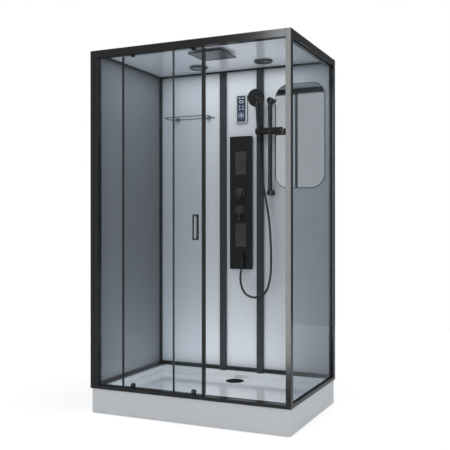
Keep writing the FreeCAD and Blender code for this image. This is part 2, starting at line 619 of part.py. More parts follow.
def make_door():
    """Door glass with edge seals, clips at its four corners and a flat ring handle."""
    low = f"({SILL_Z} + Sizes.clip_cover)"
    high = f"({RAIL_Z} - Sizes.clip_cover)"
    seal = "Sizes.seal_width"
    pane = box("door_sheet", f"{DOOR_LEFT} + 3", DOOR_Y, low,
               f"{DOOR_RIGHT} - {DOOR_LEFT} - 6", "Sizes.glass", f"{high} - {low}")
    holes = []
    handle_mid = f"({LEFT} + Sizes.handle_left + Sizes.handle_width / 2)"
    screw_z = "(Sizes.handle_height / 2 - (Sizes.handle_width - Sizes.handle_slot) / 4)"
    for name, sign in (("low", "-"), ("high", "+")):
        holes.append(prism(f"door_hole_{name}", 12, handle_mid, f"{DOOR_Y} - 1",
                           f"Sizes.handle_z {sign} {screw_z}", "4", "Sizes.glass + 2", "+y"))
    glass = cut("door_glass", pane, *holes)

    deep = "Sizes.seal_depth"
    groove = (f"{deep} / 2 - Sizes.glass / 2", f"{deep} / 2 + Sizes.glass / 2", f"{seal} - 3")
    seals = []
    for name, x, side in (("left", DOOR_LEFT, "right"), ("right", f"{DOOR_RIGHT} - {seal}", "left")):
        seals.append(extrusion(
            f"seal_{name}", "z", [notched(seal, deep, **{side: (groove,)})],
            x, f"{DOOR_MID} - {deep} / 2", low, f"{high} - {low}"))
    door_seals = group("door_seals", *seals)

    ring_out = handle_ring("handle_outside", f"{DOOR_Y} - Sizes.handle_out", "Sizes.handle_out")
    ring_in = handle_ring("handle_inside", f"{DOOR_Y} + Sizes.glass", "Sizes.handle_in")
    bolts = [prism(f"handle_bolt_{name}", 12, handle_mid, f"{DOOR_Y} - 0.5",
                   f"Sizes.handle_z {sign} {screw_z}", "3.8", "Sizes.glass + 1", "+y")
             for name, sign in (("low", "-"), ("high", "+"))]
    handle = fuse("door_handle", ring_out, ring_in, *bolts)
    return glass, door_seals, handle


def handle_ring(name, y, thick):
    """Flat upright ring with a long slot."""
    band = "(Sizes.handle_width - Sizes.handle_slot) / 2"
    body = doc.addObject("PartDesign::Body", name)
    sketch = sketch_on(body, "XZ_Plane")
    draw(sketch, rectangle("Sizes.handle_width", "Sizes.handle_height"))
    draw(sketch, rectangle("Sizes.handle_slot", f"Sizes.handle_height - 2 * {band}", band, band))
    pad = body.newObject("PartDesign::Pad", name + "_pad")
    pad.Profile = sketch
    pad.Reversed = True
    pad.setExpression("Length", thick)
    return bind(body, x_=f"{LEFT} + Sizes.handle_left", y_=y,
                z_="Sizes.handle_z - Sizes.handle_height / 2")


ROLLER_X = {"left": f"({DOOR_LEFT} + Sizes.roller_inset)",
            "right": f"({DOOR_RIGHT} - Sizes.roller_inset)"}
TOP_AXLE_Z = f"({RAIL_Z} + Sizes.lip_thick + Sizes.play + Sizes.roller_radius)"
LOW_AXLE_Z = f"({RIM} + 3 + Sizes.play + Sizes.guide_radius)"


def make_clips():
    """Four clips that grip the door glass; a tongue of each carries an axle in the channel."""
    clips = []
    cover = "Sizes.clip_cover"
    bore = "Sizes.axle_radius + Sizes.running"
    for side, x in ROLLER_X.items():
        for level, face, axle, out in (("top", RAIL_Z, TOP_AXLE_Z, "-"),
                                       ("low", SILL_Z, LOW_AXLE_Z, "+")):
            name = f"clip_{level}_{side}"
            radius, thick, tongue = "Sizes.clip_radius", "Sizes.clip_thick", "Sizes.hanger"
            disc = prism(f"{name}_disc", 16, x, f"{DOOR_MID} - {thick} / 2", face, radius, thick,
                         "+y")
            # Half of the disc is kept, a hair clear of the rail or the sill.
            keep = f"({radius} + 1)"
            if level == "top":
                trim = box(f"{name}_trim", f"{x} - {keep}", f"{DOOR_MID} - {thick}",
                           f"{face} - 1", f"2 * ({keep})", f"2 * {thick}", keep)
            else:
                trim = box(f"{name}_trim", f"{x} - {keep}", f"{DOOR_MID} - {thick}",
                           f"{face} + 1 - ({keep})", f"2 * ({keep})", f"2 * {thick}", keep)
            low = f"{face} - {cover} - {radius}" if level == "top" else f"{face} + {cover}"
            slot = box(f"{name}_slot", f"{x} - {keep}", DOOR_Y, low, f"2 * ({keep})",
                       "Sizes.glass", radius)
            half = cut(f"{name}_half", disc, trim, slot)
            # The strap runs from inside the half disc to just past the axle.
            if level == "top":
                start, end, broad = f"({face} - {cover})", f"({axle} + 6)", "12"
            else:
                start, end, broad = f"({axle} - 5.2)", f"({face} + {cover})", "10"
            strap = box(f"{name}_strap", f"{x} - {broad} / 2", f"{DOOR_MID} - {tongue} / 2", start,
                        broad, tongue, f"{end} - {start}")
            hole = rod(f"{name}_hole", x, f"{DOOR_MID} - {tongue}", axle, bore,
                       f"2 * {tongue}", "+y")
            clips.append(cut(name, fuse(f"{name}_whole", half, strap), hole))
    return group("roller_brackets", *clips)


def make_rollers():
    """Each top roller has a wheel at both ends of its axle, each low guide one wheel behind."""
    rollers = []
    half_span, tread = "(Sizes.channel / 2 - 0.5)", "Sizes.tread"
    for side, x in ROLLER_X.items():
        for level, z, radius in (("top", TOP_AXLE_Z, "Sizes.roller_radius"),
                                 ("low", LOW_AXLE_Z, "Sizes.guide_radius")):
            name = f"roller_{level}_{side}"
            near = half_span if level == "top" else f"({half_span} - {tread})"
            pieces = [rod(f"{name}_axle", x, f"{DOOR_MID} - {near}", z, "Sizes.axle_radius",
                          f"{near} + {half_span}", "+y"),
                      prism(f"{name}_back", 20, x, f"{DOOR_MID} + {half_span} - {tread}", z,
                            radius, tread, "+y")]
            if level == "top":
                pieces.append(prism(f"{name}_front", 20, x, f"{DOOR_MID} - {half_span}", z,
                                    radius, tread, "+y"))
            rollers.append(fuse(name, *pieces))
    return rollers


def make_post_seal():
    """Magnetic seal on the right post's face, in the door's plane."""
    deep = "Sizes.seal_depth"
    groove = (f"{deep} / 2 - 1.5", f"{deep} / 2 + 1.5", "2")
    return extrusion(
        "post_seal", "z", [notched("Sizes.post_seal", deep, left=(groove,))],
        f"{RIGHT} - Sizes.post_width - Sizes.post_seal", f"{DOOR_MID} - {deep} / 2",
        f"{SILL_Z} + Sizes.play", f"{RAIL_Z} - {SILL_Z} - 2 * Sizes.play")


# ---- mirror and shelf ----------------------------------------------------------------------------

def make_mirror():
    """Mirror between the slide rail and the right side, with large round corners."""
    left = "(Sizes.rail_x + Sizes.mirror_from_rail)"
    return rounded_plate(
        "mirror", "y", f"{RIGHT} - Sizes.mirror_from_side - {left}", "Sizes.mirror_height",
        "Sizes.mirror_thick", "Sizes.mirror_corner", left, f"{WALL_Y} - Sizes.mirror_thick",
        f"{MIRROR_Z} - Sizes.mirror_height / 2")


def make_shelf():
    """Glass shelf on two clips that are screwed to the wall."""
    x = f"(-{COLUMN_EDGE} - Sizes.shelf_from_column - Sizes.shelf_length)"
    front = f"{WALL_Y} - Sizes.shelf_deep"
    plate = extrusion("shelf_glass", "z", [rectangle("Sizes.shelf_length", "Sizes.shelf_deep - 1")],
                      x, front, SHELF_Z, "Sizes.shelf_thick")
    soften(plate, "Sizes.shelf_corner",
           lambda e: edge_runs(2)(e) and e.firstVertex().Point.y < 0.01)
    clips = []
    size = "Sizes.shelf_clip"
    for name, cx in (("left", f"{x} + 30"), ("right", f"{x} + Sizes.shelf_length - 30 - {size}")):
        block = box(f"shelf_clip_{name}_block", cx, f"{WALL_Y} - {size}", f"{SHELF_Z} - 5",
                    size, size, "Sizes.shelf_thick + 10")
        slot = box(f"shelf_clip_{name}_slot", f"{cx} - 1", f"{WALL_Y} - {size} - 1",
                   f"{SHELF_Z} - 0.1", f"{size} + 2", f"{size}", "Sizes.shelf_thick + 0.2")
        clips.append(cut(f"shelf_clip_{name}", block, slot))
    return plate, group("shelf_brackets", *clips)


# ---- massage panel -------------------------------------------------------------------------------

JET_HEIGHT = "((Sizes.jet_rows - 1) * Sizes.jet_pitch + 2 * Sizes.jet_border)"
JET_WIDTH = "((Sizes.jet_columns - 1) * Sizes.jet_pitch + 2 * Sizes.jet_border)"
LEVELS = {"upper": VALVE_UPPER, "lower": VALVE_LOWER}
JETS = {"upper": JET_UPPER, "lower": JET_LOWER}


def make_massage_housing():
    """Open-backed shell with seats for the jet mats and holes for the valve stems."""
    tall = f"{PANEL_TOP} - {PANEL_LOW}"
    body = extrusion("housing_block", "y", [rectangle("Sizes.panel_width", tall)],
                     "-Sizes.panel_width / 2", PANEL_Y, PANEL_LOW, "Sizes.panel_thick")
    soften(body, "Sizes.panel_round", edge_runs(1))
    wall = "Sizes.panel_wall"
    tools = [box("housing_hollow", f"-Sizes.panel_width / 2 + {wall}", f"{PANEL_Y} + {wall} + 1.5",
                 f"{PANEL_LOW} + {wall}", f"Sizes.panel_width - 2 * {wall}",
                 "Sizes.panel_thick", f"{tall} - 2 * {wall}")]
    for level, z in JETS.items():
        tools.append(box(f"housing_seat_{level}", f"-{JET_WIDTH} / 2 - 0.1", f"{PANEL_Y} - 1",
                         f"{z} - {JET_HEIGHT} / 2 - 0.1", f"{JET_WIDTH} + 0.2",
                         "Sizes.jet_mat + 1", f"{JET_HEIGHT} + 0.2"))
    for level, z in LEVELS.items():
        tools.append(prism(f"housing_hole_{level}", 12, "0", f"{PANEL_Y} - 1", z,
                           "Sizes.valve_stem + 4", "10", "+y"))
    tools.append(prism("housing_hole_elbow", 16, "Sizes.elbow_x", f"{PANEL_Y} - 1",
                       ELBOW_Z, "Sizes.elbow_radius + 0.1", "10", "+y"))
    return cut("massage_housing", body, *tools)


def make_jets():
    """Two rubber mats, each with a grid of nozzle tips."""
    columns, rows = int(num("Sizes.jet_columns")), int(num("Sizes.jet_rows"))
    pitch, radius, tip = num("Sizes.jet_pitch"), num("Sizes.jet_radius"), num("Sizes.jet_tip")
    wide, tall, mat = num(JET_WIDTH), num(JET_HEIGHT), num("Sizes.jet_mat")
    sides = int(num("Sizes.jet_sides"))
    face_y = num(PANEL_Y)
    corners = [Vector(radius * math.cos(2 * math.pi * (i + 0.5) / sides), 0,
                      radius * math.sin(2 * math.pi * (i + 0.5) / sides)) for i in range(sides)]
    nozzle_face = Part.Face(Part.makePolygon(corners + corners[:1]))
    nozzle = nozzle_face.extrude(Vector(0, tip + mat / 2, 0))
    mats = []
    for z in JETS.values():
        plate = Part.makeBox(wide, mat, tall, Vector(-wide / 2, face_y, num(z) - tall / 2))
        tips = []
        for column in range(columns):
            for row in range(rows):
                one = nozzle.copy()
                one.translate(Vector((column - (columns - 1) / 2) * pitch, face_y - tip,
                                     num(z) + (row - (rows - 1) / 2) * pitch))
                tips.append(one)
        mats.append(plate.multiFuse(tips).removeSplitter())
    jets = doc.addObject("Part::Feature", "massage_jets")
    jets.Shape = Part.Compound(mats)
    return jets


def make_valves():
    """Valve body behind the panel with two inlets, and the rosettes around the stems."""
    mid_y = VALVE_Y
    low, high = ELBOW_Z, VALVE_UPPER
    half, pipe = "Sizes.valve_body / 2", "Sizes.valve_pipe"
    parts = [box("valve_pipe", f"-{pipe} / 2", f"{mid_y} - {pipe} / 2", f"{low} - {pipe} / 2",
                 pipe, pipe, f"{high} - {low} + {pipe} / 2")]
    for level, z in LEVELS.items():
        parts.append(box(f"valve_core_{level}", f"-{half}", f"{mid_y} - {half}",
                         f"{z} - Sizes.valve_tall / 2", "Sizes.valve_body", "Sizes.valve_body",
                         "Sizes.valve_tall"))
        parts.append(box(f"valve_neck_{level}", "-Sizes.valve_stem", f"{PANEL_Y} + 1",
                         f"{z} - Sizes.valve_stem", "2 * Sizes.valve_stem",
                         f"{mid_y} - ({PANEL_Y}) - 1", "2 * Sizes.valve_stem"))
        parts.append(rod(f"valve_nose_{level}", "0", f"{PANEL_Y} + 2", z, "Sizes.valve_stem",
                         "Sizes.rosette_thick + 12", "-y"))
    for side, sign in (("hot", "-"), ("cold", "")):
        x = f"{sign}Sizes.inlet_gap / 2"
        block = "Sizes.inlet_block"
        parts.append(box(f"inlet_block_{side}", f"{x} - {block} / 2", f"{mid_y} - {pipe} / 2",
                         f"{VALVE_LOWER} - {block} / 2", block, pipe, block))
        parts.append(rod(f"inlet_{side}", x, f"{mid_y} + {pipe} / 2", VALVE_LOWER,
                         "Sizes.inlet_dia / 2", f"{BACK} - {mid_y} - {pipe} / 2", "+y"))
    parts.append(box("inlet_arm", "-Sizes.inlet_gap / 2", f"{mid_y} - {pipe} / 2",
                     f"{VALVE_LOWER} - {pipe} / 2", "Sizes.inlet_gap", pipe, pipe))
    parts.append(box("valve_spout", "0", f"{mid_y} - {pipe} / 2", f"{low} - {pipe} / 2",
                     f"Sizes.elbow_x + {pipe} / 2", pipe, pipe))
    valve = fuse("valve_manifold", *parts)

    rosettes = []
    for level, z in LEVELS.items():
        thick = "Sizes.rosette_thick"
        disc = prism(f"rosette_{level}_disc", 28, "0", PANEL_Y, z, "Sizes.rosette_radius", thick,
                     "-y")
        bore = prism(f"rosette_{level}_bore", 12, "0", f"{PANEL_Y} + 1", z,
                     "Sizes.valve_stem + 0.6", f"{thick} + 2", "-y")
        rosettes.append(cut(f"rosette_{level}", disc, bore))
    return valve, group("escutcheons", *rosettes)


def make_lever(level, reach):
    """Round knob on a valve stem with a flat lever that hangs down."""
    z = LEVELS[level]
    name = f"lever_{level}"
    long = "Sizes.knob_length"
    start = f"{PANEL_Y} - Sizes.rosette_thick - Sizes.play"
    knob = prism(f"{name}_knob", 28, "0", start, z, "Sizes.knob_radius", long, "-y")
    bore = rod(f"{name}_bore", "0", f"{start} + 1", z, "Sizes.valve_stem + Sizes.running",
               "Sizes.valve_grip + 1", "-y")
    handle = extrusion(f"{name}_handle", "y", [rectangle("Sizes.lever_width", f"{reach} - 6")],
                       "-Sizes.lever_width / 2", f"{start} - {long} + 1", f"{z} - {reach}",
                       "Sizes.lever_thick")
    soften(handle, "Sizes.lever_width / 2 - 0.2",
           lambda e: edge_runs(1)(e) and e.CenterOfMass.z < 0.01)
    return cut(name, fuse(f"{name}_whole", knob, handle), bore)


def make_elbow():
    """Hose elbow that comes out of the panel and turns down, with the hose's cone nut."""
    x, z, radius = "Sizes.elbow_x", ELBOW_Z, "Sizes.elbow_radius"
    out = f"({PANEL_Y} - Sizes.elbow_out)"
    inside = f"({VALVE_Y} - Sizes.valve_pipe / 2)"
    level = prism("elbow_level", 16, x, inside, z, radius, f"{inside} - {out}", "-y")
    wide = f"{radius} + 2"
    rise = "Sizes.elbow_rise"
    body = prism("elbow_body", 16, x, out, f"{z} - {rise}", wide, f"2 * {rise}")
    nut = prism("elbow_nut", 12, x, out, f"{z} - Sizes.elbow_drop", "Sizes.hose_radius + 2",
                f"Sizes.elbow_drop - {rise}")
    return fuse("hose_elbow", level, body, nut)


# ---- slide rail and hand shower ------------------------------------------------------------------

def make_slide_rail():
    """Round rail held by two wall mounts."""
    tube_low = f"{RAIL_LOW} - Sizes.rail_over"
    tube = rod("slide_rail", "Sizes.rail_x", RAIL_Y, tube_low, "Sizes.rail_radius",
               f"{RAIL_HIGH} + Sizes.rail_over - ({tube_low})")
    mounts = []
    for name, z in (("low", RAIL_LOW), ("high", RAIL_HIGH)):
        nose = "Sizes.rail_out + Sizes.mount_nose"
        radius = "Sizes.mount_radius"
        boss = prism(f"mount_{name}_boss", 16, "Sizes.rail_x", WALL_Y, z, radius, nose, "-y")
        bore = prism(f"mount_{name}_bore", 12, "Sizes.rail_x", RAIL_Y, f"{z} - 40",
                     f"Sizes.rail_radius / {FLAT}", "80")
        mounts.append(cut(f"mount_{name}", boss, bore))
    return tube, group("rail_mounts", *mounts)


LEAN = "Sizes.handset_tilt * 1deg"
HOLDER_X = "(Sizes.rail_x - Sizes.slider_left - Sizes.play - Sizes.holder_long / 2)"


def make_slider():
    """Slider on the rail, the tilting holder to its left and the clamp knob to its right."""
    x0 = "(Sizes.rail_x - Sizes.slider_left)"
    x1 = "(Sizes.rail_x + Sizes.slider_right)"
    z, radius = SLIDER_Z, "Sizes.slider_radius"
    spigot, long = "Sizes.spigot", "Sizes.spigot_long"
    barrel = prism("slider_barrel", 16, x0, RAIL_Y, z, radius, f"{x1} - {x0}", "+x")
    pin = rod("slider_pin", f"{x0} - {long}", RAIL_Y, z, spigot, f"{long} + 1", "+x")
    bore = prism("slider_bore", 12, "Sizes.rail_x", RAIL_Y, f"{z} - 40",
                 f"(Sizes.rail_radius + Sizes.running) / {FLAT}", "80")
    thread = rod("slider_thread", f"{x1} - 18", RAIL_Y, z, "5 + Sizes.running", "19", "+x")
    slider = cut("slider_body", fuse("slider_whole", barrel, pin), bore, thread)

    knob_start = f"({x1} + Sizes.play)"
    shaft = rod("knob_shaft", f"{knob_start} - 17", RAIL_Y, z, "5", "17 + 1", "+x")
    grip = prism("knob_grip", 16, knob_start, RAIL_Y, z, radius, "Sizes.knob_long", "+x")
    knob = fuse("clamp_knob", shaft, grip)

    holder_start = f"({x0} - Sizes.play - Sizes.holder_long)"
    cup = prism("holder_cup", 16, holder_start, RAIL_Y, z, radius, "Sizes.holder_long", "+x")
    socket = rod("holder_socket", f"{x0} - Sizes.play - {long} - 0.5", RAIL_Y, z,
                 f"{spigot} + Sizes.running", f"{long} + 2", "+x")
    seat = tilted_rod("holder_seat", f"(Sizes.handle_radius + Sizes.play) / {FLAT}", "-60", "120",
                      12)
    holder = cut("handset_holder", cup, socket, seat)
    return slider, knob, holder


def tilted_rod(name, radius, start, height, sides=0):
    """Bar on the hand shower's axis, which leans forward through the holder."""
    thing = doc.addObject("Part::Prism" if sides else "Part::Cylinder", name)
    if sides:
        thing.Polygon = sides
    thing.Placement = Placement(Vector(), Rotation(Vector(1, 0, 0), 1))
    thing.setExpression("Placement.Rotation.Angle", "Sizes.handset_tilt")
    return bind(thing, x_=HOLDER_X, y_=f"{RAIL_Y} - ({start}) * sin({LEAN})",
                z_=f"{SLIDER_Z} + ({start}) * cos({LEAN})", Height=height,
                **{"Circumradius" if sides else "Radius": radius})


def make_hand_shower():
    """Hand shower whose handle hangs in the holder, with a round head that faces the front."""
    below, reach = "Sizes.handset_below", "Sizes.handset_reach"
    grip = tilted_rod("handset_grip", "Sizes.handle_radius", f"-{below}", f"{below} + {reach} - 12")
    # The head is a disc square to the handle with a smaller disc behind it.
    radius, thick = "Sizes.head_radius", "Sizes.head_thick"
    discs = []
    for name, size, start, deep in (("face", radius, "0", f"{thick} * 0.55"),
                                    ("back", f"{radius} * 0.72", f"{thick} * 0.5",
                                     f"{thick} * 0.5")):
        disc = doc.addObject("Part::Prism", f"handset_{name}")
        disc.Polygon = 28
        disc.Placement = Placement(Vector(), Rotation(Vector(1, 0, 0), 1))
        disc.setExpression("Placement.Rotation.Angle", "Sizes.handset_tilt - 90")
        off = f"({thick} * 0.6 - ({start}))"
        bind(disc, x_=HOLDER_X, Circumradius=size, Height=deep,
             y_=f"{RAIL_Y} - {reach} * sin({LEAN}) - {off} * cos({LEAN})",
             z_=f"{SLIDER_Z} + {reach} * cos({LEAN}) - {off} * sin({LEAN})")
        discs.append(disc)
    hand = fuse("handset_whole", grip, *discs)
    nut = tilted_rod("handset_nut", "Sizes.nut_radius", f"-{below} - Sizes.nut_long",
                     "Sizes.nut_long")
    return group("hand_shower", hand, nut)


# Route of the hose from the elbow's nut down, round the low bend and up to the hand shower's nut,
# measured from the elbow's nut.
HOSE_POINTS = [
    (0, 0, -39), (-6, -2, -99), (1, -5, -162), (28, -8, -212), (74, -9, -236),
    (122, -10, -229), (162, -10, -200), (185, -10, -148), (195, -8, -79), (196, -7, 6),
    (192, -4, 111), (183, -1, 226), (164, 2, 341), (140, 5, 451), (122, 10, 556),
    (115.5, 15, 636), (112.3, 18.6, 688),
]


def hose_route():
    """Straight runs joined by tangent arcs; each arc is as large as its two runs allow.

    The last run leaves the hand shower's nut along its axis."""
    lean = math.radians(num("Sizes.handset_tilt"))
    reach = num("Sizes.handset_below") + num("Sizes.nut_long") + num("Sizes.hose_gap")
    end = Vector(num(HOLDER_X), num(RAIL_Y) + reach * math.sin(lean),
                 num(SLIDER_Z) - reach * math.cos(lean))
    start = Vector(num("Sizes.elbow_x"), num(PANEL_Y) - num("Sizes.elbow_out"),
                   num(ELBOW_Z) - num("Sizes.elbow_drop") - num("Sizes.hose_gap"))
    last = end + Vector(0, math.sin(lean), -math.cos(lean)) * num("Sizes.hose_exit")
    points = [start] + [start + Vector(*p) for p in HOSE_POINTS] + [last, end]
    edges, here, radii = [], points[0], []
    for before, corner, after in zip(points, points[1:], points[2:]):
        into, out = (corner - before), (after - corner)
        short = min(into.Length, out.Length)
        into.normalize()
        out.normalize()
        turn = into.getAngle(out)
        trim = 0.45 * short
        radii.append(trim / math.tan(turn / 2))
        a, b = corner - into * trim, corner + out * trim
        bisector = (out - into).normalize()
        centre = corner + bisector * (radii[-1] / math.cos(turn / 2))
        middle = centre - bisector * radii[-1]
        edges.append(Part.LineSegment(here, a).toShape())
        edges.append(Part.Arc(a, middle, b).toShape())
        here = b
    edges.append(Part.LineSegment(here, points[-1]).toShape())
    print("hose radii", [round(r) for r in radii])
    return Part.Wire(edges), points


def make_hose():
    wire, points = hose_route()
    radius = num("Sizes.hose_radius")
    sides = int(num("Sizes.hose_sides"))
    turn = Rotation(Vector(0, 0, 1), points[1] - points[0])
    corners = [points[0] + turn.multVec(Vector(radius * math.cos(a), radius * math.sin(a), 0))
               for a in (2 * math.pi * i / sides for i in range(sides))]
    ring = Part.makePolygon(corners + corners[:1])
    hose = doc.addObject("Part::Feature", "shower_hose")
    hose.Shape = wire.makePipeShell([ring], True, False)
    print("hose volume ratio", round(hose.Shape.Volume / (Part.Face(ring).Area * wire.Length), 4),
          "length", round(wire.Length))
    return hose


# ---- control unit --------------------------------------------------------------------------------

def make_control():
    """Wall unit with a dark face, four keys that travel and a round key field below them."""
    wide, tall, thick = "Sizes.control_width", "Sizes.control_height", "Sizes.control_thick"
    front = f"({WALL_Y} - {thick})"
    block = rounded_plate("control_block", "y", wide, tall, thick, "Sizes.control_round",
                          f"-{wide} / 2", front, f"{CONTROL_Z} - {tall} / 2")
    face_x, face_z = "-Sizes.face_width / 2", f"{CONTROL_Z} - Sizes.face_height / 2"
    seat = box("control_seat", f"{face_x} - 0.1", f"{front} - 1", f"{face_z} - 0.1",
               "Sizes.face_width + 0.2", "Sizes.face_thick + 1.5", "Sizes.face_height + 0.2")
    wells, keys, holes = [], [], []
    for row in range(2):
        for column in range(2):
            x = (f"{2 * column - 1} * (Sizes.key_width + Sizes.key_gap) / 2"
                 f" - Sizes.key_width / 2")
            z = f"{KEYS_Z} - {2 * row - 1} * (Sizes.key_height + Sizes.key_gap) / 2"
            number = 2 * row + column + 1
            keys.append(box(
                f"key_{number}", x, f"{front} + 0.5 - Sizes.key_proud",
                f"{z} - Sizes.key_height / 2", "Sizes.key_width",
                "Sizes.key_proud + Sizes.face_thick", "Sizes.key_height"))
            holes.append(box(
                f"key_hole_{number}", f"{x} - Sizes.play", f"{front} - 1",
                f"{z} - Sizes.key_height / 2 - Sizes.play", "Sizes.key_width + 2 * Sizes.play",
                "Sizes.face_thick + 2", "Sizes.key_height + 2 * Sizes.play"))
            wells.append(box(
                f"key_well_{number}", f"{x} - Sizes.play", f"{front} - 1",
                f"{z} - Sizes.key_height / 2 - Sizes.play", "Sizes.key_width + 2 * Sizes.play",
                "1 + 0.5 + Sizes.face_thick + Sizes.key_travel + Sizes.play",
                "Sizes.key_height + 2 * Sizes.play"))
    housing = cut("control_housing", block, seat, *wells)
    sheet_face = box("face_sheet", face_x, f"{front} + 0.5", face_z, "Sizes.face_width",
                     "Sizes.face_thick", "Sizes.face_height")
    field = prism("face_field", 24, "0", f"{front} + 0.5", FIELD_Z,
                  "Sizes.field_radius", "0.8", "-y")
    face = fuse("control_face", cut("face_pierced", sheet_face, *holes), field)
    return housing, face, keys


# ---- roof fittings -------------------------------------------------------------------------------

def make_roof_fittings():
    """Square rain head on a ball stem, and two round discs with a raised rim."""
    low = f"({ROOF_LOW} - Sizes.rain_gap - Sizes.rain_thick)"
    size, thick = "Sizes.rain_size", "Sizes.rain_thick"
    plate = rounded_plate("rain_plate", "z", size, size, thick, "Sizes.rain_corner",
                          f"Sizes.rain_x - {size} / 2", f"Sizes.rain_y - {size} / 2", low)
    top = f"({low} + {thick})"
    barrel_z = f"({top} + 3)"
    x, y, long = "Sizes.rain_x", "Sizes.rain_y", "Sizes.barrel_long"
    saddle = box("rain_saddle", f"{x} - {long} / 2", f"{y} - 13", f"{top} - 1", long, "26",
                 "8")
    bore = rod("rain_bore", f"{x} - {long} / 2 - 1", y, barrel_z,
               "Sizes.barrel_radius + Sizes.running", f"{long} + 2", "+x")
    head = cut("rain_head", fuse("rain_whole", plate, saddle), bore)

    barrel = rod("stem_barrel", f"{x} - {long} / 2", y, barrel_z, "Sizes.barrel_radius", long,
                 "+x")
    neck = prism("stem_neck", 6, x, y, barrel_z, "5", f"{ROOF_LOW} - {barrel_z}")
    stem = fuse("rain_stem", barrel, neck)

    lamps = []
    for name, sign in (("left", "-"), ("right", "")):
        rim, deep, place = "Sizes.lamp_radius", "Sizes.lamp_thick", f"{sign}Sizes.lamp_spread"
        disc = prism(f"lamp_{name}_disc", 28, place, "Sizes.lamp_y", ROOF_LOW, rim, deep, "-z")
        pan = prism(f"lamp_{name}_pan", 28, place, "Sizes.lamp_y", f"{ROOF_LOW} - {deep} + 3",
                    f"{rim} - 10", "4", "-z")
        lamps.append(cut(f"lamp_{name}", disc, pan))
    return head, group("ceiling_fittings", stem, *lamps)

def build():
    """Every sub-part of the cabin, each in its own named object."""
    parts = [make_tray(), make_tray_legs(), *make_waste()]
    parts += [*make_posts(), *make_top_rails(), *make_sills()]
    parts += [*make_side_panes(), *make_front_panes(), *make_back_wall(), make_roof()]
    parts += [*make_door(), make_clips(), *make_rollers(), make_post_seal()]
    parts += [make_mirror(), *make_shelf()]
    parts += [make_massage_housing(), make_jets(), *make_valves()]
    parts += [make_lever("upper", "Sizes.lever_upper"), make_lever("lower", "Sizes.lever_lower")]
    parts += [make_elbow(), make_hose(), *make_slide_rail(), *make_slider(), make_hand_shower()]
    housing, face, keys = make_control()
    parts += [housing, face, *keys, *make_roof_fittings()]
    return parts


def check(parts):
    """Stops the build where an object failed or a sub-part's shape is null, invalid or empty."""
    for thing in doc.Objects:
        if "Invalid" in thing.State or "Error" in thing.State:
            raise RuntimeError(f"{thing.Name} failed: {thing.State}")
    for part in parts:
        shape = part.Shape
        if shape.isNull() or not shape.isValid() or not shape.Solids:
            raise RuntimeError(f"{part.Label} has no valid solid")


def write(parts):
    os.makedirs("parts", exist_ok=True)
    for part in parts:
        part.Shape.exportStep(f"parts/{part.Label}.step")
    print(len(parts), "sub-parts")


PARTS = build()
doc.recompute()
check(PARTS)
write(PARTS)
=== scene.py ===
import math

import bmesh
import bpy
from mathutils import Matrix, Vector
from mathutils.kdtree import KDTree


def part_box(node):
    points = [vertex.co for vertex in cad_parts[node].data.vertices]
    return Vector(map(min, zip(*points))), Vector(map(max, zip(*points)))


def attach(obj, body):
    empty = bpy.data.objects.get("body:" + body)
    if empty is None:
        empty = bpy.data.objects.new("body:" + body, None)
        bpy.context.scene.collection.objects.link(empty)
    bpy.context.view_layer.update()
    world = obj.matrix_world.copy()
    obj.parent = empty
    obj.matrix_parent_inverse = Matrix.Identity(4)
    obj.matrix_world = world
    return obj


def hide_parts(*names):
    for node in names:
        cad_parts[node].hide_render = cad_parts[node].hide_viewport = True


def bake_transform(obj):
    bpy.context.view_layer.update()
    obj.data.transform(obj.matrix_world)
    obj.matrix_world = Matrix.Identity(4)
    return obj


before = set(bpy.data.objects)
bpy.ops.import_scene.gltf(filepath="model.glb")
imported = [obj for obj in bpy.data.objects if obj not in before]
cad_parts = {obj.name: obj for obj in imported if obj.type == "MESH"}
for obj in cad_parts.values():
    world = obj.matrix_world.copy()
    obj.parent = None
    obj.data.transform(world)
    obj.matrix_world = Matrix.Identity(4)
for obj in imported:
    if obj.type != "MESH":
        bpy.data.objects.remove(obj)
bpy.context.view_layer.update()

bl_info = {
    "name": "Shower cabin",
    "version": (1, 0, 0),
    "blender": (4, 5, 0),
    "location": "3D View > Sidebar > Shower cabin",
    "description": "Dresses a framed shower cabin with glass, fittings, hose and lamps",
    "category": "Object",
}

# Directions, and places shared by several fittings, in metres.
RIGHT, BACK, AHEAD, UP, DOWN = (1, 0, 0), (0, 1, 0), (0, -1, 0), (0, 0, 1), (0, 0, -1)
PANEL_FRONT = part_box("massage_housing")[0].y
RAIL_AXIS = Vector((0.205, 0.345, 0.0))
SLIDER_Z = 1.643
HOLDER_CENTRE = Vector((0.1317, 0.345, SLIDER_Z))
HANDLE_LEAN = math.radians(12)
HANDLE_AXIS = Vector((0, -math.sin(HANDLE_LEAN), math.cos(HANDLE_LEAN)))
HEAD_REACH = 0.206
DOOR_MIDDLE = -0.3695
KEY_FIELD = 1.754
SWIVEL_Z = 2.036
# Brightness of the surroundings in reflections, in front of the cabin and behind it.
MIRRORED_AHEAD, MIRRORED_BEHIND = 0.50, 0.16
# Half of the floor's length, and how far it reaches behind the cabin's middle.
FLOOR_HALF, FLOOR_BACK = 14.0, 3.6
# Height of the raised marks, and where a mark or jet starts, a little inside its face.
MARK_UP, MARK_FOOT = 0.0002, -0.0002


# ---- values a user may change ----

def length(name, description, default):
    """Length property in metres."""
    return bpy.props.FloatProperty(name=name, description=description, default=default,
                                   min=0.0, max=5.0, unit="LENGTH", precision=4)


def colour(name, description, default):
    """Colour property."""
    return bpy.props.FloatVectorProperty(name=name, description=description, default=default,
                                         min=0.0, max=1.0, size=3, subtype="COLOR")


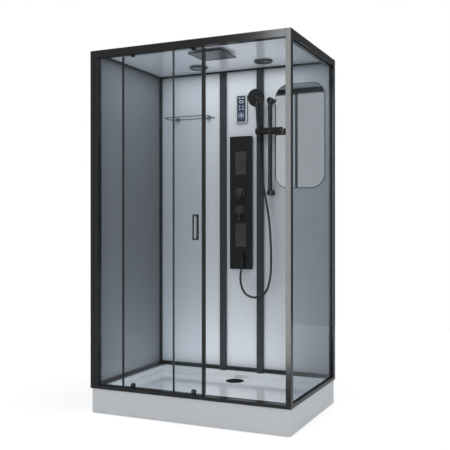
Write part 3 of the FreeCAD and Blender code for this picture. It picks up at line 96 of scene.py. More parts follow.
class CabinSizes(bpy.types.PropertyGroup):
    """Sizes of the dressed pieces."""
    frame_edge: length("Frame edge", "Rounding of the aluminium profiles' edges", 0.0008)
    tray_edge: length("Tray edge", "Rounding of the tray's moulded edges", 0.0035)
    pane_edge: length("Pane edge", "Ground edge of the glass panes", 0.0006)
    handle_edge: length("Handle edge", "Rounding of the door handle's ring", 0.0022)
    jet_radius: length("Jet radius", "Radius of one rubber jet of the massage panel", 0.0020)
    hose_radius: length("Hose radius", "Outer radius of the shower hose", 0.007)
    hose_rib: length("Hose rib", "Distance between two ribs of the hose", 0.003)
    rain_pitch: length("Rain pitch", "Distance between the rain head's nozzles", 0.0155)
    mirror_bevel: length("Mirror bevel", "Width of the mirror's polished bevel", 0.0032)


class CabinColours(bpy.types.PropertyGroup):
    """Colours of the cabin's finishes."""
    frame_black: colour("Frame", "Powder-coated profiles", (0.008, 0.008, 0.0082))
    fitting_black: colour("Fittings", "Lacquered shower fittings", (0.007, 0.007, 0.0071))
    panel_black: colour("Massage panel", "Anodised front of the massage panel",
                        (0.0085, 0.0085, 0.0086))
    column_black: colour("Columns", "Gloss cover strips of the back wall", (0.024, 0.0272, 0.032))
    wall_grey: colour("Back wall", "Lacquered back panels", (0.42, 0.438, 0.458))
    wall_dark: colour("Left wall", "Dark panel of the left side", (0.130, 0.136, 0.146))
    roof_grey: colour("Roof", "Roof sheet seen from below", (0.72, 0.75, 0.80))
    tray_white: colour("Tray", "Acrylic of the shower tray", (0.85, 0.87, 0.89))
    front_tint: colour("Front glass", "Light that one face of a front pane lets through",
                       (0.925, 0.948, 0.962))
    side_tint: colour("Side glass", "Light that one face of the side pane lets through",
                      (0.81, 0.842, 0.864))
    clear_tint: colour("Door glass", "Light that one face of the door's pane lets through",
                       (0.98, 0.985, 0.988))
    steel: colour("Bright metal", "Shelf clamps, axles and clip screws", (0.42, 0.43, 0.45))
    rubber: colour("Rubber", "Seals and beads", (0.02, 0.02, 0.021))
    jet_grey: colour("Jets", "Rubber tips of the jets", (0.62, 0.62, 0.62))
    control_blue: colour("Control face", "Dark face of the control unit", (0.018, 0.026, 0.055))
    mark_pale: colour("Marks", "Symbols of the control unit", (0.60, 0.68, 0.76))
    floor: colour("Floor", "Studio floor", (0.93, 0.93, 0.93))


# ---- finishes ----

# Per finish: its material, its colour (a fixed one, or the name of one a user may change),
# roughness, metallic, shade (how far its patches differ), patch (their scale), spread (of its
# roughness), grain (scale of its relief), bump (strength of its relief), and what else it has.
FINISHES = {
    "frame": ("powder_black", "frame_black", 0.20, 0, 0.12, 4, 0.02, 1500, 0.01,
              {"worn": (0.020, 0.020, 0.021)}),
    "matt": ("matt_black", (0.010, 0.0105, 0.011), 0.55, 0, 0.10, 20, 0.05, 1500, 0.05,
             {"specular": 0.04}),
    "fitting": ("fitting_black", "fitting_black", 0.27, 0, 0.12, 14, 0.07, 1800, 0.06,
                {"specular": 0.34, "worn": (0.02, 0.02, 0.02)}),
    "lever": ("lever_black", (0.017, 0.017, 0.0175), 0.36, 0, 0.10, 14, 0.06, 1800, 0.04, {}),
    "panel": ("panel_black", "panel_black", 0.24, 0, 0.06, 3, 0.03, 1600, 0.04,
              {"specular": 0.24, "stretch": (1, 1, 0.2)}),
    "column": ("column_black", "column_black", 0.15, 0, 0.05, 2, 0.03, 500, 0.01,
               {"specular": 0.35}),
    "wall": ("wall_grey", "wall_grey", 0.16, 0, 0.015, 1.4, 0.02, 260, 0.004, {"specular": 0.06}),
    "dark_wall": ("wall_dark", "wall_dark", 0.18, 0, 0.02, 1.4, 0.015, 260, 0.003,
                  {"specular": 0.30}),
    "roof": ("roof_grey", "roof_grey", 0.07, 0, 0.010, 1.6, 0.01, 420, 0.003, {"specular": 0.6}),
    "tray": ("tray_acrylic", "tray_white", 0.07, 0, 0.012, 3, 0.015, 350, 0.004,
             {"specular": 0.55}),
    "steel": ("satin_steel", "steel", 0.26, 1, 0.06, 8, 0.08, 900, 0.05, {"stretch": (1, 6, 6)}),
    "steel_dark": ("dark_steel", (0.24, 0.255, 0.27), 0.30, 1, 0.08, 9, 0.08, 900, 0.05, {}),
    "rain_face": ("rain_face", (0.15, 0.16, 0.17), 0.34, 1, 0.06, 9, 0.05, 900, 0.02, {}),
    "satin": ("satin_grey", (0.060, 0.065, 0.072), 0.30, 0, 0.06, 9, 0.05, 900, 0.02,
              {"specular": 0.3}),
    "diffuser": ("lamp_diffuser", (0.10, 0.108, 0.118), 0.30, 0, 0.03, 12, 0.06, 1300, 0.08, {}),
    "rubber": ("seal_rubber", "rubber", 0.62, 0, 0.12, 20, 0.08, 1400, 0.15, {}),
    "jet": ("jet_rubber", "jet_grey", 0.55, 0, 0.10, 60, 0.08, 1400, 0.10, {}),
    "control": ("control_face", "control_blue", 0.16, 0, 0.05, 10, 0.04, 900, 0.01,
                {"coat": 0.5}),
    "mark": ("control_mark", "mark_pale", 0.40, 0, 0.04, 30, 0.06, 900, 0.03, {}),
    "housing": ("housing_pale", (0.336, 0.3504, 0.3664), 0.34, 0, 0.02, 6, 0.05, 900, 0.04, {}),
    "mirror": ("silvered_glass", (0.94, 0.96, 0.98), 0.025, 1, 0.01, 1.2, 0.012, 200, 0.004, {}),
    "glass_edge": ("glass_edge", (0.020, 0.034, 0.034), 0.20, 0, 0.1, 30, 0.06, 900, 0.02, {}),
    "hose": ("hose_black", "fitting_black", 0.44, 0, 0.12, 25, 0.08, 1500, 0.10, {}),
    "galvanised": ("galvanised_steel", (0.42, 0.43, 0.44), 0.42, 1, 0.16, 45, 0.12, 500, 0.12, {}),
    "grey_plastic": ("trap_plastic", (0.24, 0.245, 0.25), 0.45, 0, 0.06, 12, 0.08, 900, 0.08, {}),
    "brass": ("valve_brass", (0.62, 0.46, 0.22), 0.34, 1, 0.10, 30, 0.10, 700, 0.10, {}),
    "nylon": ("wheel_nylon", (0.50, 0.50, 0.48), 0.48, 0, 0.05, 40, 0.06, 1200, 0.05, {}),
}
# Glass: its material and the name of its colour.
GLASSES = {
    "glass": ("front_glass_tinted", "front_tint"),
    "side_glass": ("side_glass_tinted", "side_tint"),
    "clear": ("door_glass_clear", "clear_tint"),
}
# Share of the light that a pane mirrors at the lowest angle, and what it mirrors straight on.
PANE_GLOSS, PANE_LEAST = 0.26, 0.005


def put(tree, kind, sockets=(), **settings):
    """New node with its settings, whose sockets get a value or another node's output."""
    node = tree.nodes.new("ShaderNode" + kind)
    for name, value in settings.items():
        setattr(node, name, value)
    for name, value in dict(sockets).items():
        if isinstance(value, bpy.types.NodeSocket):
            tree.links.new(value, node.inputs[name])
        else:
            node.inputs[name].default_value = value
    return node


def counted(tree, operation, *values):
    """Output of a Math node."""
    return put(tree, "Math", enumerate(values), operation=operation).outputs[0]


def noise(tree, place, scale, detail, rough, stretch=None):
    """Noise on the piece's own coordinates."""
    if stretch:
        place = put(tree, "Mapping", {"Scale": stretch, "Vector": place}).outputs["Vector"]
    return put(tree, "TexNoise", {"Scale": scale, "Detail": detail, "Roughness": rough,
                                  "Vector": place}).outputs["Fac"]


def ranged(tree, value, low, high, start=0.3, end=0.7):
    """Value spread over a range."""
    return put(tree, "MapRange", {"Value": value, "From Min": start, "From Max": end,
                                  "To Min": low, "To Max": high}).outputs["Result"]


def mixed(tree, share, first, second):
    """Mix of two colours."""
    return put(tree, "Mix", {"Factor": share, "A": first, "B": second},
               data_type="RGBA").outputs["Result"]


def finish(tree, base, roughness, metallic, shade, patch, spread, grain, bump, coat=0.0,
           stretch=None, worn=None, specular=0.5):
    """Finish with faint patches of shade, uneven gloss and a fine grain; worn edges on request."""
    place = put(tree, "TexCoord").outputs["Object"]
    clouds = noise(tree, place, patch, 3.0, 0.5, stretch)
    tone = mixed(tree, ranged(tree, clouds, 0.0, 1.0), [c * (1 - shade) for c in base] + [1],
                 [min(1, c * (1 + shade)) for c in base] + [1])
    if worn:
        edge = put(tree, "NewGeometry").outputs["Pointiness"]
        tone = mixed(tree, ranged(tree, edge, 0.0, 0.35, 0.53, 0.62), tone, [*worn, 1])
    smears = noise(tree, place, patch * 3.1, 5.0, 0.6, stretch)
    relief = put(tree, "Bump", {"Strength": bump, "Distance": 0.0004,
                                "Height": noise(tree, place, grain, 2.0, 0.5, stretch)})
    shader = put(tree, "BsdfPrincipled", {
        "Base Color": tone, "Metallic": metallic, "Specular IOR Level": specular,
        "Roughness": ranged(tree, smears, max(0.01, roughness - spread), roughness + spread),
        "Coat Weight": coat, "Coat Roughness": 0.12, "Normal": relief.outputs["Normal"]})
    put(tree, "OutputMaterial", {"Surface": shader.outputs["BSDF"]})


def glass(tree, tint):
    """Thin pane: what is behind shows through its tint, and more is mirrored at a low angle."""
    smears = noise(tree, put(tree, "TexCoord").outputs["Object"], 3.0, 4.0, 0.6)
    through = put(tree, "BsdfTransparent", {"Color": [*tint, 1]})
    mirror = put(tree, "BsdfGlossy", {"Color": (0.95, 0.98, 1.0, 1),
                                      "Roughness": ranged(tree, smears, 0.0, 0.05)})
    facing = put(tree, "LayerWeight", {"Blend": 0.5}).outputs["Facing"]
    share = counted(tree, "MULTIPLY_ADD", counted(tree, "POWER", facing, 4.0), PANE_GLOSS,
                    PANE_LEAST)
    both = put(tree, "MixShader", {0: share, 1: through.outputs[0], 2: mirror.outputs[0]})
    put(tree, "OutputMaterial", {"Surface": both.outputs[0]})


def blank(name):
    """Material with an empty node tree."""
    material = bpy.data.materials.new("cabin_" + name)
    material.use_nodes = True
    material.node_tree.nodes.clear()
    return material


def finished(name):
    """Material of a finish or a glass, made when it is first asked for."""
    label, base, *rest = GLASSES.get(name) or FINISHES[name]
    material = bpy.data.materials.get("cabin_" + label)
    if material:
        return material
    material = blank(label)
    if isinstance(base, str):
        base = getattr(bpy.context.scene.cabin_colours, base)
    if name in GLASSES:
        glass(material.node_tree, base)
    else:
        finish(material.node_tree, base, *rest[:-1], **rest[-1])
    return material


# ---- shapes ----

def moved_to(place, direction):
    """Matrix that turns +Z to a direction and moves the origin to a place."""
    turn = Vector(direction).to_track_quat("Z", "Y").to_matrix().to_4x4()
    return Matrix.Translation(place) @ turn


def ease(bm, width, segments=2, least=30.0, picked=None):
    """Rounds every edge that is sharper than an angle."""
    limit = math.radians(least)
    sharp = [e for e in (picked or bm.edges)
             if len(e.link_faces) == 2 and e.calc_face_angle(0) > limit]
    if sharp:
        bmesh.ops.bevel(bm, geom=sharp, offset=width, offset_type="OFFSET", segments=segments,
                        profile=0.5, affect="EDGES", clamp_overlap=True, material=-1)


def turned(outline, place=(0, 0, 0), direction=UP, steps=56):
    """Shape turned about a direction from an outline of (radius, height) points."""
    bm = bmesh.new()
    corners = [bm.verts.new((radius, 0, height)) for radius, height in outline]
    edges = [bm.edges.new(pair) for pair in zip(corners, corners[1:])]
    bmesh.ops.spin(bm, geom=corners + edges, cent=(0, 0, 0), axis=UP, angle=math.tau,
                   steps=steps, use_merge=True)
    bmesh.ops.remove_doubles(bm, verts=bm.verts, dist=1e-6)
    bmesh.ops.recalc_face_normals(bm, faces=bm.faces)
    bmesh.ops.transform(bm, matrix=moved_to(place, direction), verts=bm.verts)
    return bm


def both_ends(half, long):
    """Outline that ends at its far end as it starts."""
    return half + [(radius, long - height) for radius, height in reversed(half)]


def rod(radius, long, start=0):
    """Outline of a plain rod."""
    return [(0, start), (radius, start), (radius, long), (0, long)]


def centre_of(node):
    """Middle of a CAD node's box."""
    low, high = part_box(node)
    return [(a + b) / 2 for a, b in zip(low, high)]


def circle(reach, count, start=0.0):
    """Places on a circle, each as its way across and its way up."""
    for step in range(count):
        turn = start + math.tau * step / count
        yield reach * math.cos(turn), reach * math.sin(turn)


def grid(columns, rows, pitch):
    """Places on a grid, row by row, each as its way across and its way up."""
    for row in range(rows):
        for column in range(columns):
            yield column * pitch, row * pitch


def slab(low, high, width=0.0, segments=2, round_axis=None, radius=0.0, corner_steps=6):
    """Block between two corners, with round corners along one axis and eased edges."""
    low, high = Vector(low), Vector(high)
    bm = bmesh.new()
    bmesh.ops.create_cube(bm, size=1.0)
    bmesh.ops.transform(bm, verts=bm.verts, matrix=Matrix.Translation((low + high) / 2)
                        @ Matrix.Diagonal((*(high - low), 1)))
    if round_axis is not None:
        along = [e for e in bm.edges
                 if abs((e.verts[0].co - e.verts[1].co).normalized()[round_axis]) > 0.99]
        bmesh.ops.bevel(bm, geom=along, offset=radius, offset_type="OFFSET",
                        segments=corner_steps, profile=0.5, affect="EDGES", material=-1)
    if width:
        ease(bm, width, segments)
    return bm


def shift(bm, y=0.0, z=0.0):
    """Moves a whole shape."""
    bmesh.ops.translate(bm, verts=bm.verts, vec=(0, y, z))


def add(target, source, material=0):
    """Puts a shape into another one and frees it; None keeps its own material numbers."""
    if material is not None:
        for face in source.faces:
            face.material_index = material
    scrap = bpy.data.meshes.new("scrap")
    source.to_mesh(scrap)
    source.free()
    target.from_mesh(scrap)
    bpy.data.meshes.remove(scrap)


def plain(face):
    """Whether a face is a large flat one that ends at bent edges."""
    bends = [edge.calc_face_angle(0) for edge in face.edges if len(edge.link_faces) == 2]
    clear = all(bend < 0.01 or bend > 0.17 for bend in bends)
    return face.calc_area() > (1e-4 if clear else 0.01)


def piece(name, bm, body, finishes, replaces=(), angle=32.0):
    """Makes the object of a finished shape, whose finishes one string names, in their order.
    It rides on a body and may stand for CAD nodes."""
    limit = math.radians(angle)
    bm.normal_update()
    for face in bm.faces:
        face.smooth = not plain(face)
    for edge in bm.edges:
        if len(edge.link_faces) == 2:
            edge.smooth = edge.calc_face_angle(0) < limit
    mesh = bpy.data.meshes.new(name)
    bm.to_mesh(mesh)
    bm.free()
    for finish_name in finishes.split():
        mesh.materials.append(finished(finish_name))
    thing = bpy.data.objects.new(name, mesh)
    bpy.context.scene.collection.objects.link(thing)
    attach(thing, body)
    if replaces:
        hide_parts(*replaces)
    return thing


def copied(node):
    """Shape of a CAD node with its triangles merged into flat faces."""
    bm = bmesh.new()
    bm.from_mesh(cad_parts[node].data)
    bm.faces.ensure_lookup_table()
    bmesh.ops.remove_doubles(bm, verts=bm.verts, dist=2e-6)
    bmesh.ops.dissolve_limit(bm, angle_limit=math.radians(0.6), use_dissolve_boundaries=False,
                             verts=bm.verts, edges=bm.edges)
    return bm


def softened(node, name, width, finish_name, segments=2):
    """Copy of one of the cabin's CAD nodes with eased edges that stands in its place."""
    bm = copied(node)
    ease(bm, width, segments)
    piece(name, bm, "cabin", finish_name, [node])


def pane(node, name, edge, finish_name, body="cabin"):
    """Copy of a pane with ground edges whose narrow faces are dark."""
    bm = copied(node)
    low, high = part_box(node)
    size = high - low
    thin = min(range(3), key=lambda axis: size[axis])
    for face in bm.faces:
        face.material_index = 0 if abs(face.normal[thin]) > 0.9 else 1
    ease(bm, edge, 1)
    piece(name, bm, body, finish_name + " glass_edge", [node])


def dress(node, finish_name):
    """Gives a CAD node that stays its finish."""
    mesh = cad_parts[node].data
    mesh.materials.clear()
    mesh.materials.append(finished(finish_name))


def screw(place, direction, radius, height=0.0016):
    """Low screw head with a cross of two slots, drawn as flat dark bars of the second material,
    which paints the shade in the slots.
    """
    bm = turned([(0, height), (radius * 0.72, height), (radius, height * 0.45), (radius, 0),
                 (0, 0)], steps=20)
    for turn in (0.0, math.pi / 2):
        groove = slab((-radius * 0.62, -radius * 0.12, height - 0.0002),
                      (radius * 0.62, radius * 0.12, height + 0.0002))
        bmesh.ops.rotate(groove, verts=groove.verts, cent=(0, 0, 0),
                         matrix=Matrix.Rotation(turn, 3, "Z"))
        add(bm, groove, 1)
    bmesh.ops.transform(bm, matrix=moved_to(place, direction), verts=bm.verts)
    return bm


# ---- tray and frame ----

class CABIN_OT_tray(bpy.types.Operator):
    """Moulded tray with soft edges, its waste cover, the trap and the legs"""
    bl_idname = "cabin.tray"
    bl_label = "Tray"

    def execute(self, context):
        edge = context.scene.cabin_sizes.tray_edge
        softened("tray", "tray_moulding", edge, "tray", 3)
        low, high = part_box("drain_cover")
        top, bottom = high.z, low.z
        rim = (high.x - low.x) / 2
        outline = [(0, top), (0.012, top - 0.0001), (0.0135, top - 0.0008),
                   (0.0155, top - 0.0008), (0.017, top - 0.0002), (0.036, top - 0.001),
                   (0.049, top - 0.0026), (rim - 0.0015, top - 0.0042), (rim, top - 0.0052),
                   (rim, top - 0.006), (0.034, top - 0.006), (0.034, bottom), (0, bottom)]
        cover = turned(outline, (*centre_of("drain_cover")[:2], 0), steps=72)
        piece("waste_cover", cover, "drain_cover", "matt", ["drain_cover"])
        dress("waste_trap", "grey_plastic")
        dress("tray_legs", "galvanised")
        return {"FINISHED"}


class CABIN_OT_frame(bpy.types.Operator):
    """Posts, rails and sills with eased edges, glazing beads and corner screws"""
    bl_idname = "cabin.frame"
    bl_label = "Frame"

    def execute(self, context):
        edge = context.scene.cabin_sizes.frame_edge
        for node in ("post_front_left", "post_front_right", "posts_back", "top_rail_front",
                     "top_rail_right", "top_rail_left", "top_rail_back", "sill_front",
                     "sills_side", "sill_back", "glass_joiner", "glass_edge_profile"):
            profile = copied(node)
            if node == "glass_joiner":
                self.slim(profile, centre_of(node)[0], core=0.0016, share=0.6)
            ease(profile, edge)
            piece(node + "_profile", profile, "cabin", "frame", [node])
        self.beads()
        self.screws()
        return {"FINISHED"}

    def slim(self, bm, middle, core, share):
        """Narrows the lips of a joiner and leaves its core."""
        for vert in bm.verts:
            if abs(vert.co.x - middle) > core:
                vert.co.x = middle + (vert.co.x - middle) * share

    def beads(self):
        """Rubber beads between the panes and the profiles round them."""
        beads = bmesh.new()
        soft, thick, edge = 0.0026, 0.0022, 0.0006
        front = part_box("front_glass_left")[0].y
        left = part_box("post_front_left")[1].x
        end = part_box("glass_edge_profile")[0].x
        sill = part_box("sill_front")[1].z
        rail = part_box("top_rail_front")[0].z
        for low_z in (sill, rail - soft):
            add(beads, slab((left, front - thick, low_z), (end, front, low_z + soft), edge))
        add(beads, slab((left, front - thick, sill), (left + soft, front, rail), edge))
        inner, outer = [corner.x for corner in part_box("side_glass")]
        back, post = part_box("posts_back")[0].y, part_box("post_front_right")[1].y
        for low_x in (outer, inner - thick):
            high_x = low_x + thick
            for low_z in (sill, rail - soft):
                add(beads, slab((low_x, post, low_z), (high_x, back, low_z + soft), edge))
            for low_y in (post, back - soft):
                add(beads, slab((low_x, low_y, sill), (high_x, low_y + soft, rail), edge))
        piece("glazing_beads", beads, "cabin", "rubber")

    def screws(self):
        """Screws that hold the rails' corners from above."""
        heads = bmesh.new()
        sunk, head = 0.0021, 0.0036
        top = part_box("top_rail_front")[1].z - sunk
        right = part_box("top_rail_right")[1].x
        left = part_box("top_rail_left")[0].x
        front, back, side = -0.379, 0.387, right - 0.021
        for x, y in ((left + 0.075, front), (right - 0.06, front), (side, -0.33), (side, 0.33),
                     (left + 0.08, back), (right - 0.08, back)):
            add(heads, screw((x, y, top), UP, head), None)
        # The heads take dark steel, and their slots the near-black rubber finish as painted shade.
        piece("corner_screws", heads, "cabin", "steel_dark rubber")


class CABIN_OT_panes(bpy.types.Operator):
    """Tinted panes with ground edges"""
    bl_idname = "cabin.panes"
    bl_label = "Panes"

    def execute(self, context):
        edge = context.scene.cabin_sizes.pane_edge
        for node in ("front_glass_left", "front_glass_right"):
            pane(node, node + "_pane", edge, "glass")
        pane("side_glass", "side_glass_pane", edge, "side_glass")
        pane("door_glass", "door_pane", edge, "clear", "door")
        return {"FINISHED"}


class CABIN_OT_walls(bpy.types.Operator):
    """Back panels, left wall, roof sheet and the black cover columns"""
    bl_idname = "cabin.walls"
    bl_label = "Walls"

    def execute(self, context):
        sheet_edge, column_edge = 0.0008, 0.0022
        for node in ("back_panel_left", "back_panel_middle", "back_panel_right"):
            softened(node, node + "_sheet", sheet_edge, "wall")
        softened("wall_panel_left", "left_wall_sheet", sheet_edge, "dark_wall")
        softened("roof_panel", "roof_sheet", sheet_edge, "roof")
        softened("wall_columns", "cover_columns", column_edge, "column", 3)
        self.foot_bead()
        return {"FINISHED"}

    def foot_bead(self):
        """Pale sealing bead along the foot of the back wall."""
        bead = bmesh.new()
        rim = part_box("tray")[1].z
        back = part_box("sill_back")[0].y
        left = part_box("sills_side")[0].x + 0.05
        add(bead, slab((left, back - 0.004, rim - 0.0005), (-left, back + 0.0005, rim + 0.004),
                       0.0018, 3))
        piece("wall_bead", bead, "cabin", "tray")


# ---- door ----

class CABIN_OT_door(bpy.types.Operator):
    """Door seals, ring handle, roller clips and the rollers in their channels"""
    bl_idname = "cabin.door"
    bl_label = "Door fittings"

    def execute(self, context):
        self.seals()
        self.handle(context.scene.cabin_sizes.handle_edge)
        self.clips()
        for name, double in (("roller_top_left", True), ("roller_top_right", True),
                             ("roller_low_left", False), ("roller_low_right", False)):
            self.roller(name, double)
        return {"FINISHED"}

    def seals(self):
        """Seals of the door's two edges, the left one slimmer, and the seal of the post."""
        seal_edge, left_reach, left_share = 0.0009, 0.02, 0.72
        seals = copied("door_seals")
        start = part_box("door_seals")[0].x
        for vert in seals.verts:
            if vert.co.x < start + left_reach:
                vert.co.x = start + (vert.co.x - start) * left_share
        ease(seals, seal_edge)
        piece("door_edge_seals", seals, "door", "rubber", ["door_seals"])
        softened("post_seal", "post_magnet_seal", seal_edge, "rubber")

    def handle(self, edge):
        """Flat ring in front of the glass, and a bar on two standoffs behind it."""
        low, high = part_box("door_handle")
        outside, inside = [corner.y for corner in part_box("door_glass")]
        x = centre_of("door_handle")[0]
        band, bar_half = 0.011, 0.005
        bolts = (low.z + band / 2, high.z - band / 2)
        ring = self.band_ring(low, (high.x, outside, high.z), band)
        ease(ring, edge, 3)
        add(ring, slab((x - bar_half, inside + 0.010, low.z), (x + bar_half, high.y, high.z),
                       0.0022, 3))
        standoff = [(0, -0.0065), (0.0038, -0.0065), (0.0038, 0), (0.0062, 0), (0.0062, 0.0012),
                    (0.0048, 0.0022), (0.0048, 0.0105), (0, 0.0105)]
        for z in bolts:
            add(ring, turned(standoff, (x, inside, z), BACK, 28))
        cap_outline = [(0, 0.0009), (0.0024, 0.0009), (0.0032, 0.0004), (0.0032, 0), (0, 0)]
        for z in bolts:
            cap = turned(cap_outline, (x, low.y + 0.0002, z), AHEAD, 24)
            shift(cap, y=0.0007)
            add(ring, cap, 1)
        piece("ring_handle", ring, "door", "fitting steel_dark", ["door_handle"])

    def band_ring(self, low, high, band):
        """Flat upright ring with square corners and an open slot."""
        ring = slab(low, high)
        ends = [f for f in ring.faces if abs(f.normal.y) > 0.9]
        bmesh.ops.inset_individual(ring, faces=ends, thickness=band)
        rims = [e for f in ends for e in f.edges]
        bmesh.ops.delete(ring, geom=ends, context="FACES_ONLY")
        bmesh.ops.bridge_loops(ring, edges=rims)
        bmesh.ops.recalc_face_normals(ring, faces=ring.faces)
        return ring

    def clips(self):
        """Four clips that carry the rollers, below the rail and above the sill."""
        whole = bmesh.new()
        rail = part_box("top_rail_front")[0].z
        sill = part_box("sill_front")[1].z
        for side in ("left", "right"):
            x, _, axle = centre_of("roller_top_" + side)
            self.clip(whole, x, rail, -1, axle)
            self.clip(whole, x, sill, 1, centre_of("roller_low_" + side)[2])
        piece("roller_clips", whole, "door", "fitting rubber steel", ["roller_brackets"])

    def clip(self, whole, x, face, way, axle):
        """Half-round clip with a strap to the axle; a low one stands on a foot with a screw."""
        half, wide, strap_half = 0.006, 0.0125, 0.002
        outline = [(0, -half), (wide, -half), (0.014, -half + 0.0015), (0.014, half - 0.0015),
                   (wide, half), (0, half)]
        disc = turned(outline, (x, DOOR_MIDDLE, face), BACK, 40)
        kept = bmesh.ops.bisect_plane(
            disc, geom=disc.verts[:] + disc.edges[:] + disc.faces[:],
            plane_co=(x, DOOR_MIDDLE, face + way * 0.0004), plane_no=(0, 0, -way),
            clear_outer=True)
        rims = [g for g in kept["geom_cut"] if isinstance(g, bmesh.types.BMEdge)]
        bmesh.ops.edgeloop_fill(disc, edges=rims)
        strap_wide, low, high = 0.006, face - 0.006, axle + 0.006
        if way > 0:
            strap_wide, low, high = 0.005, axle - 0.0052, face + 0.006
            shift(disc, z=0.0122)
            add(whole, slab((x - wide, DOOR_MIDDLE - half, face + 0.0004),
                            (x + wide, DOOR_MIDDLE + half, face + 0.013), 0.0012))
            add(whole, self.clip_screw(x, face + wide), None)
        add(whole, disc)
        add(whole, slab((x - strap_wide, DOOR_MIDDLE - strap_half, low),
                        (x + strap_wide, DOOR_MIDDLE + strap_half, high), 0.0006))

    def clip_screw(self, x, z):
        """Bright screw on the front of a clip."""
        head = screw((x, DOOR_MIDDLE - 0.006, z), AHEAD, 0.004, 0.0012)
        shift(head, y=0.0008)
        # The head takes the clip's steel, and its slots the near-black rubber finish as painted
        # shade.
        for face in head.faces:
            face.material_index = 2 if face.material_index == 0 else 1
        return head

    def roller(self, name, double):
        """Nylon wheels with a tread groove on a steel axle."""
        low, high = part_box(name)
        x, _, z = centre_of(name)
        radius, tread, hub = (high.z - low.z) / 2, 0.004, 0.0024
        wheel = [(hub, 0), (radius * 0.82, 0), (radius, 0.0008), (radius - 0.0006, 0.0016),
                 (radius - 0.0006, 0.0024), (radius, 0.0032), (radius * 0.82, tread),
                 (0.0045, tread), (0.0045, tread + 0.0006), (hub, tread + 0.0006), (hub, 0)]
        axle = both_ends([(0, 0), (0.0022, 0), (0.0025, 0.0004)], high.y - low.y)
        roller = turned(axle, (x, low.y, z), BACK, 28)
        for face in roller.faces:
            face.material_index = 1
        add(roller, turned(wheel, (x, high.y, z), AHEAD, 36))
        if double:
            add(roller, turned(wheel, (x, low.y, z), BACK, 36))
        piece(name + "_wheels", roller, name, "nylon steel", [name])


# ---- mirror and shelf ----

class CABIN_OT_mirror(bpy.types.Operator):
    """Mirror with large round corners and a polished bevel"""
    bl_idname = "cabin.mirror"
    bl_label = "Mirror"

    def execute(self, context):
        low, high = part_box("mirror")
        bevel, bevel_depth = context.scene.cabin_sizes.mirror_bevel, 0.0012
        sheet = slab(low, high, round_axis=1, radius=0.085, corner_steps=14)
        front = [e for e in sheet.edges if all(v.co.y < low.y + 1e-5 for v in e.verts)]
        ease(sheet, bevel, 1, picked=front)
        for vert in sheet.verts:
            if abs(vert.co.y - (low.y + bevel)) < 1e-4:
                vert.co.y = low.y + bevel_depth
        sheet.normal_update()
        # The bevel's faces take the dark glass-edge finish instead of mirroring: a painted
        # reflection that draws a thin dark outline round the mirror.
        for face in sheet.faces:
            face.material_index = 0 if face.normal.y < -0.995 else 1
        piece("wall_mirror", sheet, "cabin", "mirror glass_edge", ["mirror"], 12.0)
        return {"FINISHED"}


class CABIN_OT_shelf(bpy.types.Operator):
    """Glass shelf in two clamps with a grub screw each"""
    bl_idname = "cabin.shelf"
    bl_label = "Shelf"

    def execute(self, context):
        pane("shelf_glass", "shelf_pane", 0.0008, "clear")
        low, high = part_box("shelf_brackets")
        under, over = [corner.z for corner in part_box("shelf_glass")]
        wide, inset, web = 0.024, 0.001, 0.006
        grub = [(0, 0.0001), (0.003, 0.0001), (0.0034, -0.0004), (0.0034, -0.002), (0, -0.002)]
        clamps = bmesh.new()
        for x in (low.x, high.x - wide):
            for bottom, top in ((low.z, under), (over, high.z)):
                add(clamps, slab((x, low.y, bottom), (x + wide, high.y, top), 0.0011, 3))
            add(clamps, slab((x + inset, high.y - web, low.z + inset),
                             (x + wide - inset, high.y, high.z - inset), 0.0004))
            add(clamps, turned(grub, (x + wide / 2, low.y + 0.011, high.z), UP, 20), 1)
        piece("shelf_clamps", clamps, "cabin", "steel rubber", ["shelf_brackets"])
        return {"FINISHED"}


# ---- massage panel and valves ----

class CABIN_OT_massage_panel(bpy.types.Operator):
    """Black massage panel with its two fields of rubber jets"""
    bl_idname = "cabin.massage_panel"
    bl_label = "Massage panel"

    def execute(self, context):
        softened("massage_housing", "massage_front", 0.0028, "panel", 3)
        self.jets(context.scene.cabin_sizes.jet_radius)
        return {"FINISHED"}

    def jets(self, radius):
        """Two rubber mats, each with rows of hollow jets."""
        low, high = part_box("massage_jets")
        pitch, columns, rows, border = 0.015, 5, 10, 0.008
        tall = (rows - 1) * pitch + 2 * border
        mat_front = low.y + 0.0012
        jet = [(radius, MARK_FOOT), (radius * 0.86, 0.0009), (radius * 0.6, 0.0012),
               (radius * 0.36, 0.0011), (radius * 0.30, 0.0002), (0, 0.0002)]
        field = bmesh.new()
        for bottom in (low.z, high.z - tall):
            add(field, slab((low.x, mat_front, bottom), (high.x, high.y, bottom + tall), 0.0006))
            for across, rise in grid(columns, rows, pitch):
                place = (low.x + border + across, mat_front, bottom + border + rise)
                add(field, turned(jet, place, AHEAD, 10), 1)
        piece("jet_fields", field, "cabin", "panel jet", ["massage_jets"], 50.0)


